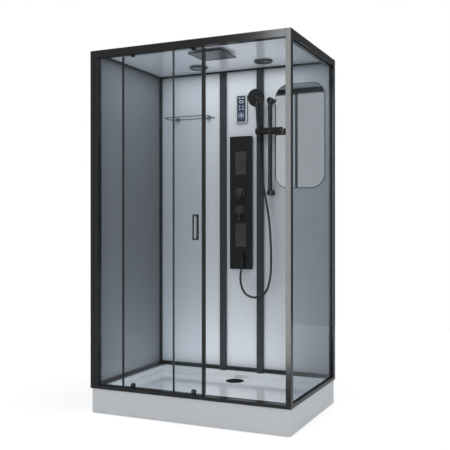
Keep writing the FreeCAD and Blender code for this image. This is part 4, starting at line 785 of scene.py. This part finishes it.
class CABIN_OT_valves(bpy.types.Operator):
    """Valve body, rosettes, two knobs with levers and the hose elbow"""
    bl_idname = "cabin.valves"
    bl_label = "Valves"

    def execute(self, context):
        dress("valve_manifold", "brass")
        rosettes = bmesh.new()
        bore, knob_radius = 0.0066, 0.024
        outline = [(bore, 0), (0.0295, 0), (0.030, 0.0006), (0.030, 0.0035), (0.0285, 0.0055),
                   (0.026, 0.006), (bore, 0.006), (bore, 0)]
        for level in ("lever_upper", "lever_lower"):
            low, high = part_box(level)
            z = high.z - knob_radius
            add(rosettes, turned(outline, (0, PANEL_FRONT, z), AHEAD, 64))
            self.knob(level, z, low, knob_radius)
        piece("valve_rosettes", rosettes, "cabin", "lever", ["escutcheons"])
        self.elbow()
        return {"FINISHED"}

    def knob(self, level, z, low, radius):
        """Turned knob with a ring groove, and a lever that widens to its round end."""
        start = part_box(level)[1].y
        out = start - low.y
        outline = [(0.0061, 0.001), (0.0225, 0.001), (radius, 0.0022), (radius, 0.0085),
                   (0.0232, 0.0092), (0.0232, 0.0102), (radius, 0.0109), (radius, out - 0.0032),
                   (0.0222, out - 0.0008), (0.019, out), (0, out)]
        knob = turned(outline, (0, start, z), AHEAD, 64)
        reach, half, thick = z - low.z, 0.0055, 0.009
        arm = slab((-half, low.y, z - reach), (half, low.y + thick, z - 0.006), round_axis=1,
                   radius=0.0052)
        for vert in arm.verts:
            share = (z - vert.co.z) / reach
            vert.co.x *= 0.82 + 0.18 * share
            if vert.co.y > low.y + 0.004:
                vert.co.y -= 0.0026 * max(0.0, share - 0.45)
        ease(arm, 0.0012, 3)
        add(knob, arm)
        piece(level + "_knob", knob, level, "lever", [level])

    def elbow(self):
        """Wall bend that turns down to the hose's nut."""
        low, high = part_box("hose_elbow")
        x, out, z = 0.020, 0.340, 0.880
        bend = 0.011
        parts = turned(rod(0.009, 0.0245), (x, high.y, z), AHEAD, 40)
        rosette = [(0.009, 0), (0.0142, 0), (0.0142, 0.0022), (0.0125, 0.0036), (0.009, 0.0036)]
        add(parts, turned(rosette, (x, PANEL_FRONT, z), AHEAD, 48))
        quarter = bmesh.new()
        bmesh.ops.create_circle(quarter, cap_ends=False, radius=0.0093, segments=40)
        bmesh.ops.transform(quarter, verts=quarter.verts, matrix=Matrix.Translation(
            (x, out + bend, z)) @ Matrix.Rotation(math.pi / 2, 4, "X"))
        bmesh.ops.spin(quarter, geom=quarter.verts[:] + quarter.edges[:],
                       cent=(x, out + bend, z - bend), axis=RIGHT, angle=math.pi / 2, steps=14)
        bmesh.ops.recalc_face_normals(quarter, faces=quarter.faces)
        add(parts, quarter)
        collar = [(0, -0.0001), (0.0095, 0), (0.011, 0.0012), (0.011, 0.004), (0.0098, 0.005),
                  (0, 0.005)]
        add(parts, turned(collar, (x, out, z - bend), DOWN, 40))
        tall = 0.0098
        nut = [(0, 0), (0.0088, 0), (0.0088, 0.0055), (0.0078, tall), (0, tall)]
        add(parts, turned(nut, (x, out, low.z + tall), DOWN, 12))
        piece("hose_bend", parts, "cabin", "fitting", ["hose_elbow"])


# ---- slide rail and hand shower ----

class CABIN_OT_slide_rail(bpy.types.Operator):
    """Rail with end caps, wall mounts, slider, clamp knob and holder"""
    bl_idname = "cabin.slide_rail"
    bl_label = "Slide rail"

    def execute(self, context):
        self.rail()
        self.mounts()
        self.slider()
        self.clamp()
        self.holder()
        return {"FINISHED"}

    def rail(self):
        """Tube with a groove below each of its end caps."""
        low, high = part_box("slide_rail")
        radius = (high.x - low.x) / 2
        outline = both_ends([(0, 0), (radius - 0.003, 0), (radius - 0.0008, 0.001),
                             (radius, 0.003), (radius, 0.0115), (radius - 0.0005, 0.012),
                             (radius - 0.0005, 0.0126), (radius, 0.0131)], high.z - low.z)
        rail = turned(outline, (RAIL_AXIS.x, RAIL_AXIS.y, low.z))
        piece("rail_tube", rail, "cabin", "fitting", ["slide_rail"])

    def mounts(self):
        """Two round posts between the wall and the rail."""
        mounts = bmesh.new()
        low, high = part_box("rail_mounts")
        deep, radius = high.y - low.y, 0.018
        outline = [(0, 0), (radius, 0), (radius, 0.0045), (0.0172, 0.0052), (0.0172, 0.006),
                   (0.0178, 0.0068), (0.0178, deep - 0.004), (0.0162, deep - 0.001),
                   (0.013, deep), (0, deep)]
        for z in (low.z + radius, high.z - radius):
            add(mounts, turned(outline, (RAIL_AXIS.x, high.y, z), AHEAD))
        piece("rail_wall_mounts", mounts, "cabin", "fitting", ["rail_mounts"])

    def slider(self):
        """Barrel on the rail with ring grooves, and sleeves where the rail goes through."""
        start = 0.152
        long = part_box("slider_body")[1].x - start
        half = [(0.0195, 0), (0.021, 0.0014), (0.021, 0.0095), (0.0203, 0.0102),
                (0.0203, 0.0112), (0.021, 0.0119)]
        outline = [(0, -0.0058), (0.0079, -0.0058), (0.0079, 0), *both_ends(half, long), (0, long)]
        barrel = turned(outline, (start, RAIL_AXIS.y, SLIDER_Z), RIGHT)
        sleeve = [(0.0127, 0), (0.0165, 0), (0.0165, 0.003), (0.0155, 0.0042), (0.0127, 0.0042)]
        for way in (1, -1):
            place = (RAIL_AXIS.x, RAIL_AXIS.y, SLIDER_Z + way * 0.0165)
            add(barrel, turned(sleeve, place, (0, 0, way), 48))
        piece("slider_barrel", barrel, "slider", "fitting", ["slider_body"])

    def clamp(self):
        """Clamp knob with a ribbed grip and a domed end."""
        start = 0.2503
        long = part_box("clamp_knob")[1].x - start
        outline = [(0, 0), (0.0192, 0), (0.0206, 0.001), (0.021, 0.0024), (0.021, long - 0.009),
                   (0.0203, long - 0.0045), (0.018, long - 0.0016), (0.0125, long), (0, long)]
        grip = turned(outline, (start, RAIL_AXIS.y, SLIDER_Z), RIGHT, 60)
        sides = [f for f in grip.faces
                 if 2e-5 < f.calc_area() < 1e-3 and abs(f.normal.x) < 0.1]
        axis = Vector((0, RAIL_AXIS.y, SLIDER_Z))
        sides.sort(key=lambda f: math.atan2(f.calc_center_median().z - axis.z,
                                            f.calc_center_median().y - axis.y))
        bmesh.ops.inset_individual(grip, faces=sides[::2], thickness=0.0004, depth=-0.0006)
        shaft = turned(rod(0.005, 0.0175), (start - 0.017, RAIL_AXIS.y, SLIDER_Z), RIGHT, 32)
        add(grip, shaft, 1)
        piece("clamp_grip", grip, "clamp_knob", "fitting steel_dark", ["clamp_knob"],
              24.0)

    def holder(self):
        """Cup whose slanted bore carries the hand shower, with a lip at both of its ends."""
        low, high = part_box("handset_holder")
        long = high.x - low.x
        outline = [(0, 0), (0.015, 0), (0.0188, 0.0012), (0.021, 0.0045), (0.021, long - 0.0014),
                   (0.0196, long), (0, long)]
        cup = turned(outline, (low.x, RAIL_AXIS.y, SLIDER_Z), RIGHT)
        lip = [(0.0124, 0), (0.0158, 0), (0.0158, 0.0032), (0.0148, 0.0042), (0.0128, 0.0042)]
        for way in (1, -1):
            place = HOLDER_CENTRE + HANDLE_AXIS * (way * 0.0162)
            add(cup, turned(lip, place, HANDLE_AXIS * way, 48))
        piece("holder_cup", cup, "holder", "fitting", ["handset_holder"])


class CABIN_OT_hand_shower(bpy.types.Operator):
    """Hand shower with a tapering handle, a dished spray face and rings of nozzles"""
    bl_idname = "cabin.hand_shower"
    bl_label = "Hand shower"

    def execute(self, context):
        front = Vector((0, -math.cos(HANDLE_LEAN), -math.sin(HANDLE_LEAN)))
        centre = HOLDER_CENTRE + HANDLE_AXIS * HEAD_REACH
        foot = -0.034
        handle = [(0, foot), (0.0092, foot), (0.0105, -0.032), (0.0119, -0.024), (0.012, 0.03),
                  (0.0117, 0.08), (0.0108, 0.120), (0.0106, 0.150), (0.0114, 0.166),
                  (0.0108, 0.186), (0.006, 0.194), (0, 0.195)]
        handset = turned(handle, HOLDER_CENTRE, HANDLE_AXIS, 48)
        head = [(0, -0.0066), (0.024, -0.0066), (0.034, -0.0058), (0.040, -0.004),
                (0.0475, 0.0004), (0.0532, 0.0038), (0.055, 0.0058), (0.055, 0.0084),
                (0.0538, 0.0098), (0.0515, 0.0101), (0.0495, 0.0092), (0.0475, 0.0078),
                (0.0472, 0.0070), (0.013, 0.0076), (0.012, 0.0092), (0.0105, 0.0097), (0, 0.0098)]
        add(handset, turned(head, centre, front, 72))
        self.nozzles(handset, centre + front * 0.0072, front)
        nut = [(0, 0), (0.009, 0), (0.009, 0.009), (0.0084, 0.0115), (0.0080, 0.0165), (0, 0.0165)]
        add(handset, turned(nut, HOLDER_CENTRE + HANDLE_AXIS * foot, -HANDLE_AXIS, 14))
        piece("hand_shower_body", handset, "hand_shower", "fitting rubber", ["hand_shower"])
        return {"FINISHED"}

    def nozzles(self, handset, centre, front):
        """Four rings of rubber nozzles on the spray face."""
        side = Vector(RIGHT)
        up = front.cross(side)
        nozzle = [(0.0015, 0), (0.0012, 0.0016), (0.0006, 0.0018), (0, 0.0012)]
        for ring, count in ((0.0185, 12), (0.0260, 18), (0.0335, 24), (0.0410, 30)):
            for across, rise in circle(ring, count):
                add(handset, turned(nozzle, centre + side * across + up * rise, front, 8), 1)


# Route of the hose, from the elbow's nut round the low bend up to the hand shower's nut.
HOSE_ROUTE = [
    (0.0200, 0.3400, 0.8539), (0.0200, 0.3400, 0.8149), (0.0080, 0.3380, 0.7549),
    (0.0125, 0.3350, 0.6889), (0.0400, 0.3320, 0.6360), (0.0900, 0.3310, 0.6135),
    (0.1420, 0.3300, 0.6195), (0.1850, 0.3300, 0.6510), (0.2050, 0.3300, 0.7059),
    (0.2150, 0.3320, 0.7749), (0.2160, 0.3330, 0.8599), (0.2120, 0.3360, 0.9649),
    (0.2030, 0.3390, 1.0799), (0.1840, 0.3420, 1.1949), (0.1600, 0.3450, 1.3049),
    (0.1420, 0.3500, 1.4099), (0.1355, 0.3550, 1.4899), (0.1323, 0.3586, 1.5419),
    (0.1317, 0.3602, 1.5715), (0.1317, 0.35564, 1.5930),
]


class CABIN_OT_hose(bpy.types.Operator):
    """Ribbed shower hose on one smooth spline"""
    bl_idname = "cabin.hose"
    bl_label = "Hose"

    def execute(self, context):
        sizes = context.scene.cabin_sizes
        path = self.path()
        rings = self.spaced(path, sizes.hose_rib / 2)
        bm = self.tube(rings, sizes.hose_radius)
        self.groove(bm, rings, 0.0005)
        hose = piece("hose_tube", bm, "cabin", "hose", ["shower_hose"], 80.0)
        hose.parent = None
        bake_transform(hose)
        return {"FINISHED"}

    def line(self, name, kind, places):
        """Curve with one spline on its places."""
        curve = bpy.data.curves.new(name, "CURVE")
        curve.dimensions = "3D"
        spline = curve.splines.new(kind)
        spline.points.add(len(places) - 1)
        for point, place in zip(spline.points, places):
            point.co = (*place, 1)
        return curve

    def to_mesh(self, curve):
        """Mesh of a curve, which is then removed."""
        thing = bpy.data.objects.new(curve.name, curve)
        bpy.context.scene.collection.objects.link(thing)
        bpy.context.view_layer.update()
        graph = bpy.context.evaluated_depsgraph_get()
        mesh = bpy.data.meshes.new_from_object(thing.evaluated_get(graph))
        bpy.data.objects.remove(thing)
        bpy.data.curves.remove(curve)
        return mesh

    def path(self):
        """Points on the smooth line of the route."""
        curve = self.line("hose_route", "NURBS", HOSE_ROUTE)
        curve.resolution_u = 24
        curve.splines[0].order_u = 3
        curve.splines[0].use_endpoint_u = True
        mesh = self.to_mesh(curve)
        points = [v.co.copy() for v in mesh.vertices]
        bpy.data.meshes.remove(mesh)
        return points

    def spaced(self, path, gap):
        """Places on the path that are an even distance apart."""
        long = sum((b - a).length for a, b in zip(path, path[1:]))
        steps = round(long / gap)
        places, walked, index = [], 0.0, 0
        for step in range(steps + 1):
            wanted = long * step / steps
            run = (path[index + 1] - path[index]).length
            while index < len(path) - 2 and walked + run < wanted:
                walked += run
                index += 1
                run = (path[index + 1] - path[index]).length
            share = min(1.0, (wanted - walked) / run)
            places.append(path[index].lerp(path[index + 1], share))
        return places

    def tube(self, rings, radius):
        """Closed tube round a line of places."""
        curve = self.line("hose_line", "POLY", rings)
        curve.twist_mode = "MINIMUM"
        curve.bevel_depth = radius
        curve.bevel_resolution = 2
        curve.use_fill_caps = True
        mesh = self.to_mesh(curve)
        bm = bmesh.new()
        bm.from_mesh(mesh)
        bpy.data.meshes.remove(mesh)
        bmesh.ops.remove_doubles(bm, verts=bm.verts, dist=1e-6)
        bmesh.ops.recalc_face_normals(bm, faces=bm.faces)
        return bm

    def groove(self, bm, rings, depth):
        """Draws every second ring of the tube in."""
        tree = KDTree(len(rings))
        for number, place in enumerate(rings):
            tree.insert(place, number)
        tree.balance()
        for vert in bm.verts:
            number = tree.find(vert.co)[1]
            if number % 2:
                vert.co += (rings[number] - vert.co).normalized() * depth


# ---- control unit ----

class CABIN_OT_control_unit(bpy.types.Operator):
    """Control unit: pale housing, dark face, display, keys with symbols and the round key field"""
    bl_idname = "cabin.control_unit"
    bl_label = "Control unit"

    def execute(self, context):
        case = copied("control_housing")
        ease(case, 0.0012)
        # All sides of the case take the black fitting finish: partly a dark rim of the case, partly
        # painted shade where its right side stands in shadow.
        for flat in case.faces:
            flat.material_index = 1 if abs(flat.normal.y) < 0.3 else 0
        piece("control_case", case, "cabin", "housing fitting", ["control_housing"])
        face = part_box("control_face")
        front = copied("control_face")
        ease(front, 0.0005)
        self.display(front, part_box("key_1")[0].y + 0.0015, face[1].z)
        self.field(front, face[0].y)
        piece("control_front", front, "cabin", "control mark rubber", ["control_face"])
        for number, symbol in enumerate((self.light, self.fan, self.sound, self.power), 1):
            self.key(f"key_{number}", symbol)
        return {"FINISHED"}

    def display(self, front, sheet, top):
        """Row of marks in a dark field, and a framed display between two round sensors."""
        def block(half, low, high, under, over, material, radius):
            """Flat block with round corners, between two distances below the face's top."""
            add(front, slab((-half, sheet - over, top - low), (half, sheet + under, top - high),
                            0.0001, 1, 1, radius), material)

        block(0.024, 0.022, 0.005, 0.0002, 0.0003, 2, 0.0015)
        for x in (-0.0155, -0.0085, 0.0085, 0.0155):
            add(front, slab((x - 0.002, sheet - 0.00045, top - 0.0165),
                            (x + 0.002, sheet - 0.0002, top - 0.0105)), 1)
        sensor = [(0.0048, 0), (0.0048, 0.0004), (0.0042, 0.0007), (0, 0.0004)]
        for x in (-0.019, 0.019):
            add(front, turned(sensor, (x, sheet - 0.0002, top - 0.0365), AHEAD, 28), 2)
        block(0.012, 0.0445, 0.0285, 0, 0.0006, 1, 0.002)
        block(0.0098, 0.0423, 0.0307, -0.0003, 0.0008, 0, 0.001)

    def field(self, front, y):
        """Two rings and four arrows round a middle key."""
        place = (0, y, KEY_FIELD)
        tall = 0.0003
        for inner, outer in ((0.0172, 0.0182), (0.0072, 0.0080)):
            ring = [(inner, MARK_FOOT), (inner, tall), (outer, tall), (outer, MARK_FOOT)]
            add(front, turned(ring, place, AHEAD, 48), 1)
        add(front, turned([(0.0036, MARK_FOOT), (0.0034, 0.0004), (0, 0.0004)], place, AHEAD,
                          24), 1)
        for turn in range(4):
            arrow = bmesh.new()
            bmesh.ops.create_cone(arrow, cap_ends=True, cap_tris=False, segments=3,
                                  radius1=0.0026, radius2=0.0026, depth=0.0006)
            bmesh.ops.rotate(arrow, verts=arrow.verts, cent=(0, 0, 0),
                             matrix=Matrix.Rotation(math.pi, 3, "Z"))
            shift(arrow, y=0.0127)
            bmesh.ops.transform(arrow, verts=arrow.verts, matrix=Matrix.Translation(place)
                                @ Matrix.Rotation(math.pi / 2, 4, "X")
                                @ Matrix.Rotation(turn * math.pi / 2, 4, "Z"))
            add(front, arrow, 1)

    def key(self, name, symbol):
        """One key with its raised symbol."""
        low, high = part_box(name)
        key = slab(low, high, 0.0006, 3)
        x, _, z = centre_of(name)
        symbol(key, Vector((x, low.y, z)))
        piece(name + "_cap", key, name, "control mark", [name])

    def dot(self, key, place, foot, top, steps):
        """Round raised mark."""
        add(key, turned([(foot, MARK_FOOT), (top, MARK_UP), (0, MARK_UP)], place, AHEAD, steps), 1)

    def bar(self, key, place, x, half, low, high, proud=MARK_UP):
        """Upright raised mark between two heights beside the middle of a key."""
        add(key, slab((place.x + x - half, place.y - proud, place.z + low),
                      (place.x + x + half, place.y - MARK_FOOT, place.z + high)), 1)

    def light(self, key, place):
        """Lamp with its socket."""
        self.dot(key, place + Vector((0, 0, 0.0008)), 0.0032, 0.0031, 20)
        self.bar(key, place, 0, 0.0016, -0.0046, -0.0030)

    def fan(self, key, place):
        """Three round blades."""
        for across, rise in circle(0.0027, 3, math.pi / 2):
            self.dot(key, place + Vector((across, 0, rise)), 0.0021, 0.0020, 16)

    def sound(self, key, place):
        """Three bars that grow."""
        for x, half_tall in ((-0.0032, 0.0017), (0.0, 0.0030), (0.0032, 0.0042)):
            self.bar(key, place, x, 0.0011, -half_tall, half_tall)

    def power(self, key, place):
        """Ring with an upright stroke."""
        ring = [(0.0026, MARK_FOOT), (0.0026, MARK_UP), (0.0041, MARK_UP), (0.0041, MARK_FOOT)]
        add(key, turned(ring, place, AHEAD, 28), 1)
        self.bar(key, place, 0, 0.0005, 0.0004, 0.0042, 0.0003)


# ---- roof fittings ----

class CABIN_OT_roof_fittings(bpy.types.Operator):
    """Rain head with its nozzles, its swivel, the lamp and the loudspeaker"""
    bl_idname = "cabin.roof_fittings"
    bl_label = "Roof fittings"

    def execute(self, context):
        x, y, _ = centre_of("rain_head")
        self.rain_head(x, y, context.scene.cabin_sizes.rain_pitch)
        self.ceiling(x, y)
        return {"FINISHED"}

    def rain_head(self, x, y, pitch):
        """Thin square plate with a groove near its rim and rows of nozzles below."""
        low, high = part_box("rain_head")
        under, thick = low.z, 0.007
        plate = slab((low.x, low.y, under), (high.x, high.y, under + thick), round_axis=2,
                     radius=0.012, corner_steps=8)
        face = [f for f in plate.faces if f.normal.z < -0.9]
        bmesh.ops.inset_region(plate, faces=face, thickness=0.0055, depth=0.0)
        bmesh.ops.inset_region(plate, faces=face, thickness=0.0008, depth=-0.0009)
        for side in set(plate.faces) - set(face):
            side.material_index = 1
        ease(plate, 0.0009, 2, 50.0)
        add(plate, slab((x - 0.010, y - 0.013, under + 0.006), (x + 0.010, y + 0.013, high.z),
                        0.002, 3))
        boss = [(0, 0), (0.030, 0), (0.029, 0.0022), (0.015, 0.0034), (0, 0.0034)]
        add(plate, turned(boss, (x, y, under + 0.0068), steps=48))
        count = int((high.x - low.x - 0.03) / pitch) + 1
        first = -(count - 1) / 2 * pitch
        nozzle = [(0.0013, 0), (0.0011, 0.0006), (0.0006, 0.0007), (0, 0.0003)]
        for across, rise in grid(count, count, pitch):
            place = (x + first + across, y + first + rise, under + 0.0009)
            add(plate, turned(nozzle, place, DOWN, 8))
        piece("rain_plate", plate, "rain_head", "rain_face fitting", ["rain_head"])

    def ceiling(self, x, y):
        """Swivel under the roof, the lamp on the left and the loudspeaker on the right."""
        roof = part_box("ceiling_fittings")[1].z
        barrel = both_ends([(0, 0), (0.0072, 0), (0.008, 0.0008)], 0.02)
        fittings = turned(barrel, (x - 0.010, y, SWIVEL_Z), RIGHT, 36)
        add(fittings, turned(rod(0.0048, roof - SWIVEL_Z), (x, y, SWIVEL_Z), steps=24))
        cover = [(0, 0), (0.020, 0), (0.0185, 0.0012), (0.006, 0.0018), (0, 0.0018)]
        add(fittings, turned(cover, (x, y, roof), DOWN, 48))
        aside, behind, inside = 0.215, 0.205, 0.0463
        ring = [(0.0462, 0.008), (0.0462, 0.0104), (0.0478, 0.0114), (0.0505, 0.012),
                (0.0535, 0.0112), (0.0555, 0.0086), (0.056, 0.005), (0.056, 0), (0, 0)]
        lens = [(inside, 0.0075), (0.043, 0.0092), (0.030, 0.0105), (0, 0.0112)]
        grille = [(inside, 0.0075), (0.044, 0.0084), (0.036, 0.0088), (0, 0.0088)]
        lamp, speaker = (-aside, behind, roof), (aside, behind, roof)
        add(fittings, turned(ring, lamp, DOWN, 72))
        add(fittings, turned(lens, lamp, DOWN, 72), 1)
        add(fittings, turned(ring, speaker, DOWN, 72))
        add(fittings, turned(grille, speaker, DOWN, 72))
        self.holes(fittings, speaker, roof - 0.0088)
        piece("swivel_lamp_speaker", fittings, "cabin", "satin diffuser rubber",
              ["ceiling_fittings"])

    def holes(self, fittings, place, z):
        """Rings of small dark discs on the loudspeaker's cover that stand for its round holes:
        painted shade inside the holes.
        """
        painted_hole_shade = [(0.0015, 0.0), (0.0014, 0.00012), (0, 0.00012)]
        for ring in range(1, 8):
            for across, rise in circle(0.0056 * ring, ring * 6):
                spot = (place[0] + across, place[1] + rise, z)
                add(fittings, turned(painted_hole_shade, spot, DOWN, 8), 2)


# ---- stage ----

# Per lamp: its middle, the way it shines, its upright side, size, power, and whether it is a
# card that only glossy faces mirror, or a light that nothing mirrors.
LAMPS = {
    "bright_card": ((0.20, -1.60, 1.41), BACK, UP, (0.36, 2.58), 22.0, True),
    "inner_lamp": ((-0.20, -0.33, 1.06), BACK, UP, (0.72, 1.82), 2.7, False),
    "foot_lamp": ((-0.10, 0.0, 0.142), UP, BACK, (0.9, 0.6), 5.0, False),
    "roof_lamp": ((0.0, 0.0, 2.034), DOWN, BACK, (1.0, 0.6), 7.0, False),
}


class CABIN_OT_stage(bpy.types.Operator):
    """Pale floor, soft light and the camera"""
    bl_idname = "cabin.stage"
    bl_label = "Stage"

    def execute(self, context):
        scene = context.scene
        scene.view_settings.view_transform = "Standard"
        self.floor(scene)
        self.world(scene)
        self.lamps(scene)
        self.camera(scene)
        return {"FINISHED"}

    def camera(self, scene):
        """Camera at the photograph's angle."""
        camera = bpy.data.cameras.new("camera")
        camera.lens = 58.09
        camera.sensor_width = 36.0
        camera.clip_start, camera.clip_end = 0.1, 100.0
        viewer = bpy.data.objects.new("camera", camera)
        viewer.location = (1.8001, -3.8341, 1.0593)
        viewer.rotation_euler = (math.pi / 2 + 0.0011, 0.0004, math.radians(24.45))
        scene.collection.objects.link(viewer)
        scene.camera = viewer

    def floor(self, scene):
        """Large pale floor that keeps the cabin's shadow and ends a little way behind it."""
        bm = bmesh.new()
        bmesh.ops.create_grid(bm, x_segments=1, y_segments=1, size=FLOOR_HALF)
        for vert in bm.verts:
            vert.co.y = min(vert.co.y, FLOOR_BACK)
        mesh = bpy.data.meshes.new("floor")
        bm.to_mesh(mesh)
        bm.free()
        mesh.materials.append(self.floor_finish(scene.cabin_colours.floor))
        floor = bpy.data.objects.new("floor", mesh)
        scene.collection.objects.link(floor)

    def floor_finish(self, base):
        """Matt pale floor that the camera, directly or through glass, sees a little brighter."""
        material = blank("studio_floor")
        tree = material.node_tree
        matt = put(tree, "BsdfDiffuse", {"Color": [*base, 1]})
        glow = put(tree, "Emission", {"Strength": counted(tree, "MULTIPLY", self.seen(tree), 0.52)})
        total = put(tree, "AddShader", {0: matt.outputs[0], 1: glow.outputs[0]})
        put(tree, "OutputMaterial", {"Surface": total.outputs[0]})
        return material

    def seen(self, tree):
        """Whether a ray comes from the camera, directly or through glass."""
        path = put(tree, "LightPath")
        return counted(tree, "MAXIMUM", path.outputs["Is Camera Ray"],
                       path.outputs["Is Transmission Ray"])

    def world(self, scene):
        """Surroundings: white for the camera, dimmer as light and in reflections."""
        world = bpy.data.worlds.new("studio")
        scene.world = world
        world.use_nodes = True
        tree = world.node_tree
        tree.nodes.clear()
        glossy = put(tree, "LightPath").outputs["Is Glossy Ray"]
        way = put(tree, "SeparateXYZ", {0: put(tree, "TexCoord").outputs["Generated"]})
        dimmed = ranged(tree, way.outputs["Y"], MIRRORED_AHEAD, MIRRORED_BEHIND, -0.3, 0.3)
        strength = put(tree, "Mix", {"Factor": glossy, "A": 1.0, "B": dimmed}).outputs[0]
        lit = put(tree, "Background", {"Color": (0.97, 0.985, 1.0, 1), "Strength": 0.59})
        shown = put(tree, "Background", {"Color": (1, 1, 1, 1), "Strength": strength})
        either = counted(tree, "MAXIMUM", self.seen(tree), glossy)
        both = put(tree, "MixShader", {0: either, 1: lit.outputs[0], 2: shown.outputs[0]})
        put(tree, "OutputWorld", {"Surface": both.outputs[0]})

    def lamps(self, scene):
        """Soft fill lights inside, and a tall bright card that only glossy faces mirror."""
        for name, (place, way, upright, size, power, card) in LAMPS.items():
            light = bpy.data.lights.new(name, "AREA")
            light.shape = "RECTANGLE"
            light.size, light.size_y = size
            light.energy = power
            light.color = (0.95, 0.975, 1.0)
            lamp = bpy.data.objects.new(name, light)
            back, top = -Vector(way), Vector(upright)
            turn = Matrix((top.cross(back), top, back)).transposed().to_4x4()
            lamp.rotation_euler = turn.to_euler()
            lamp.location = place
            lamp.visible_camera = lamp.visible_transmission = False
            lamp.visible_glossy = card
            lamp.visible_diffuse = not card
            scene.collection.objects.link(lamp)


OPERATORS = (CABIN_OT_tray, CABIN_OT_frame, CABIN_OT_panes, CABIN_OT_walls, CABIN_OT_door,
             CABIN_OT_mirror, CABIN_OT_shelf, CABIN_OT_massage_panel, CABIN_OT_valves,
             CABIN_OT_slide_rail, CABIN_OT_hand_shower, CABIN_OT_hose, CABIN_OT_control_unit,
             CABIN_OT_roof_fittings, CABIN_OT_stage)


class CABIN_PT_pieces(bpy.types.Panel):
    """Buttons for the cabin's pieces, with its sizes and colours"""
    bl_idname = "CABIN_PT_pieces"
    bl_label = "Shower cabin"
    bl_space_type = "VIEW_3D"
    bl_region_type = "UI"
    bl_category = "Shower cabin"

    def draw(self, context):
        column = self.layout.column(align=True)
        for operator in OPERATORS:
            column.operator(operator.bl_idname)
        for group in (context.scene.cabin_sizes, context.scene.cabin_colours):
            box = self.layout.box()
            for name in group.__annotations__:
                box.prop(group, name)


CLASSES = (CabinSizes, CabinColours, *OPERATORS, CABIN_PT_pieces)


def register():
    for item in CLASSES:
        bpy.utils.register_class(item)
    bpy.types.Scene.cabin_sizes = bpy.props.PointerProperty(type=CabinSizes)
    bpy.types.Scene.cabin_colours = bpy.props.PointerProperty(type=CabinColours)


def unregister():
    del bpy.types.Scene.cabin_colours
    del bpy.types.Scene.cabin_sizes
    for item in reversed(CLASSES):
        bpy.utils.unregister_class(item)


def main():
    register()
    for operator in OPERATORS:
        group, name = operator.bl_idname.split(".")
        getattr(getattr(bpy.ops, group), name)()


if __name__ == "__main__":
    main()
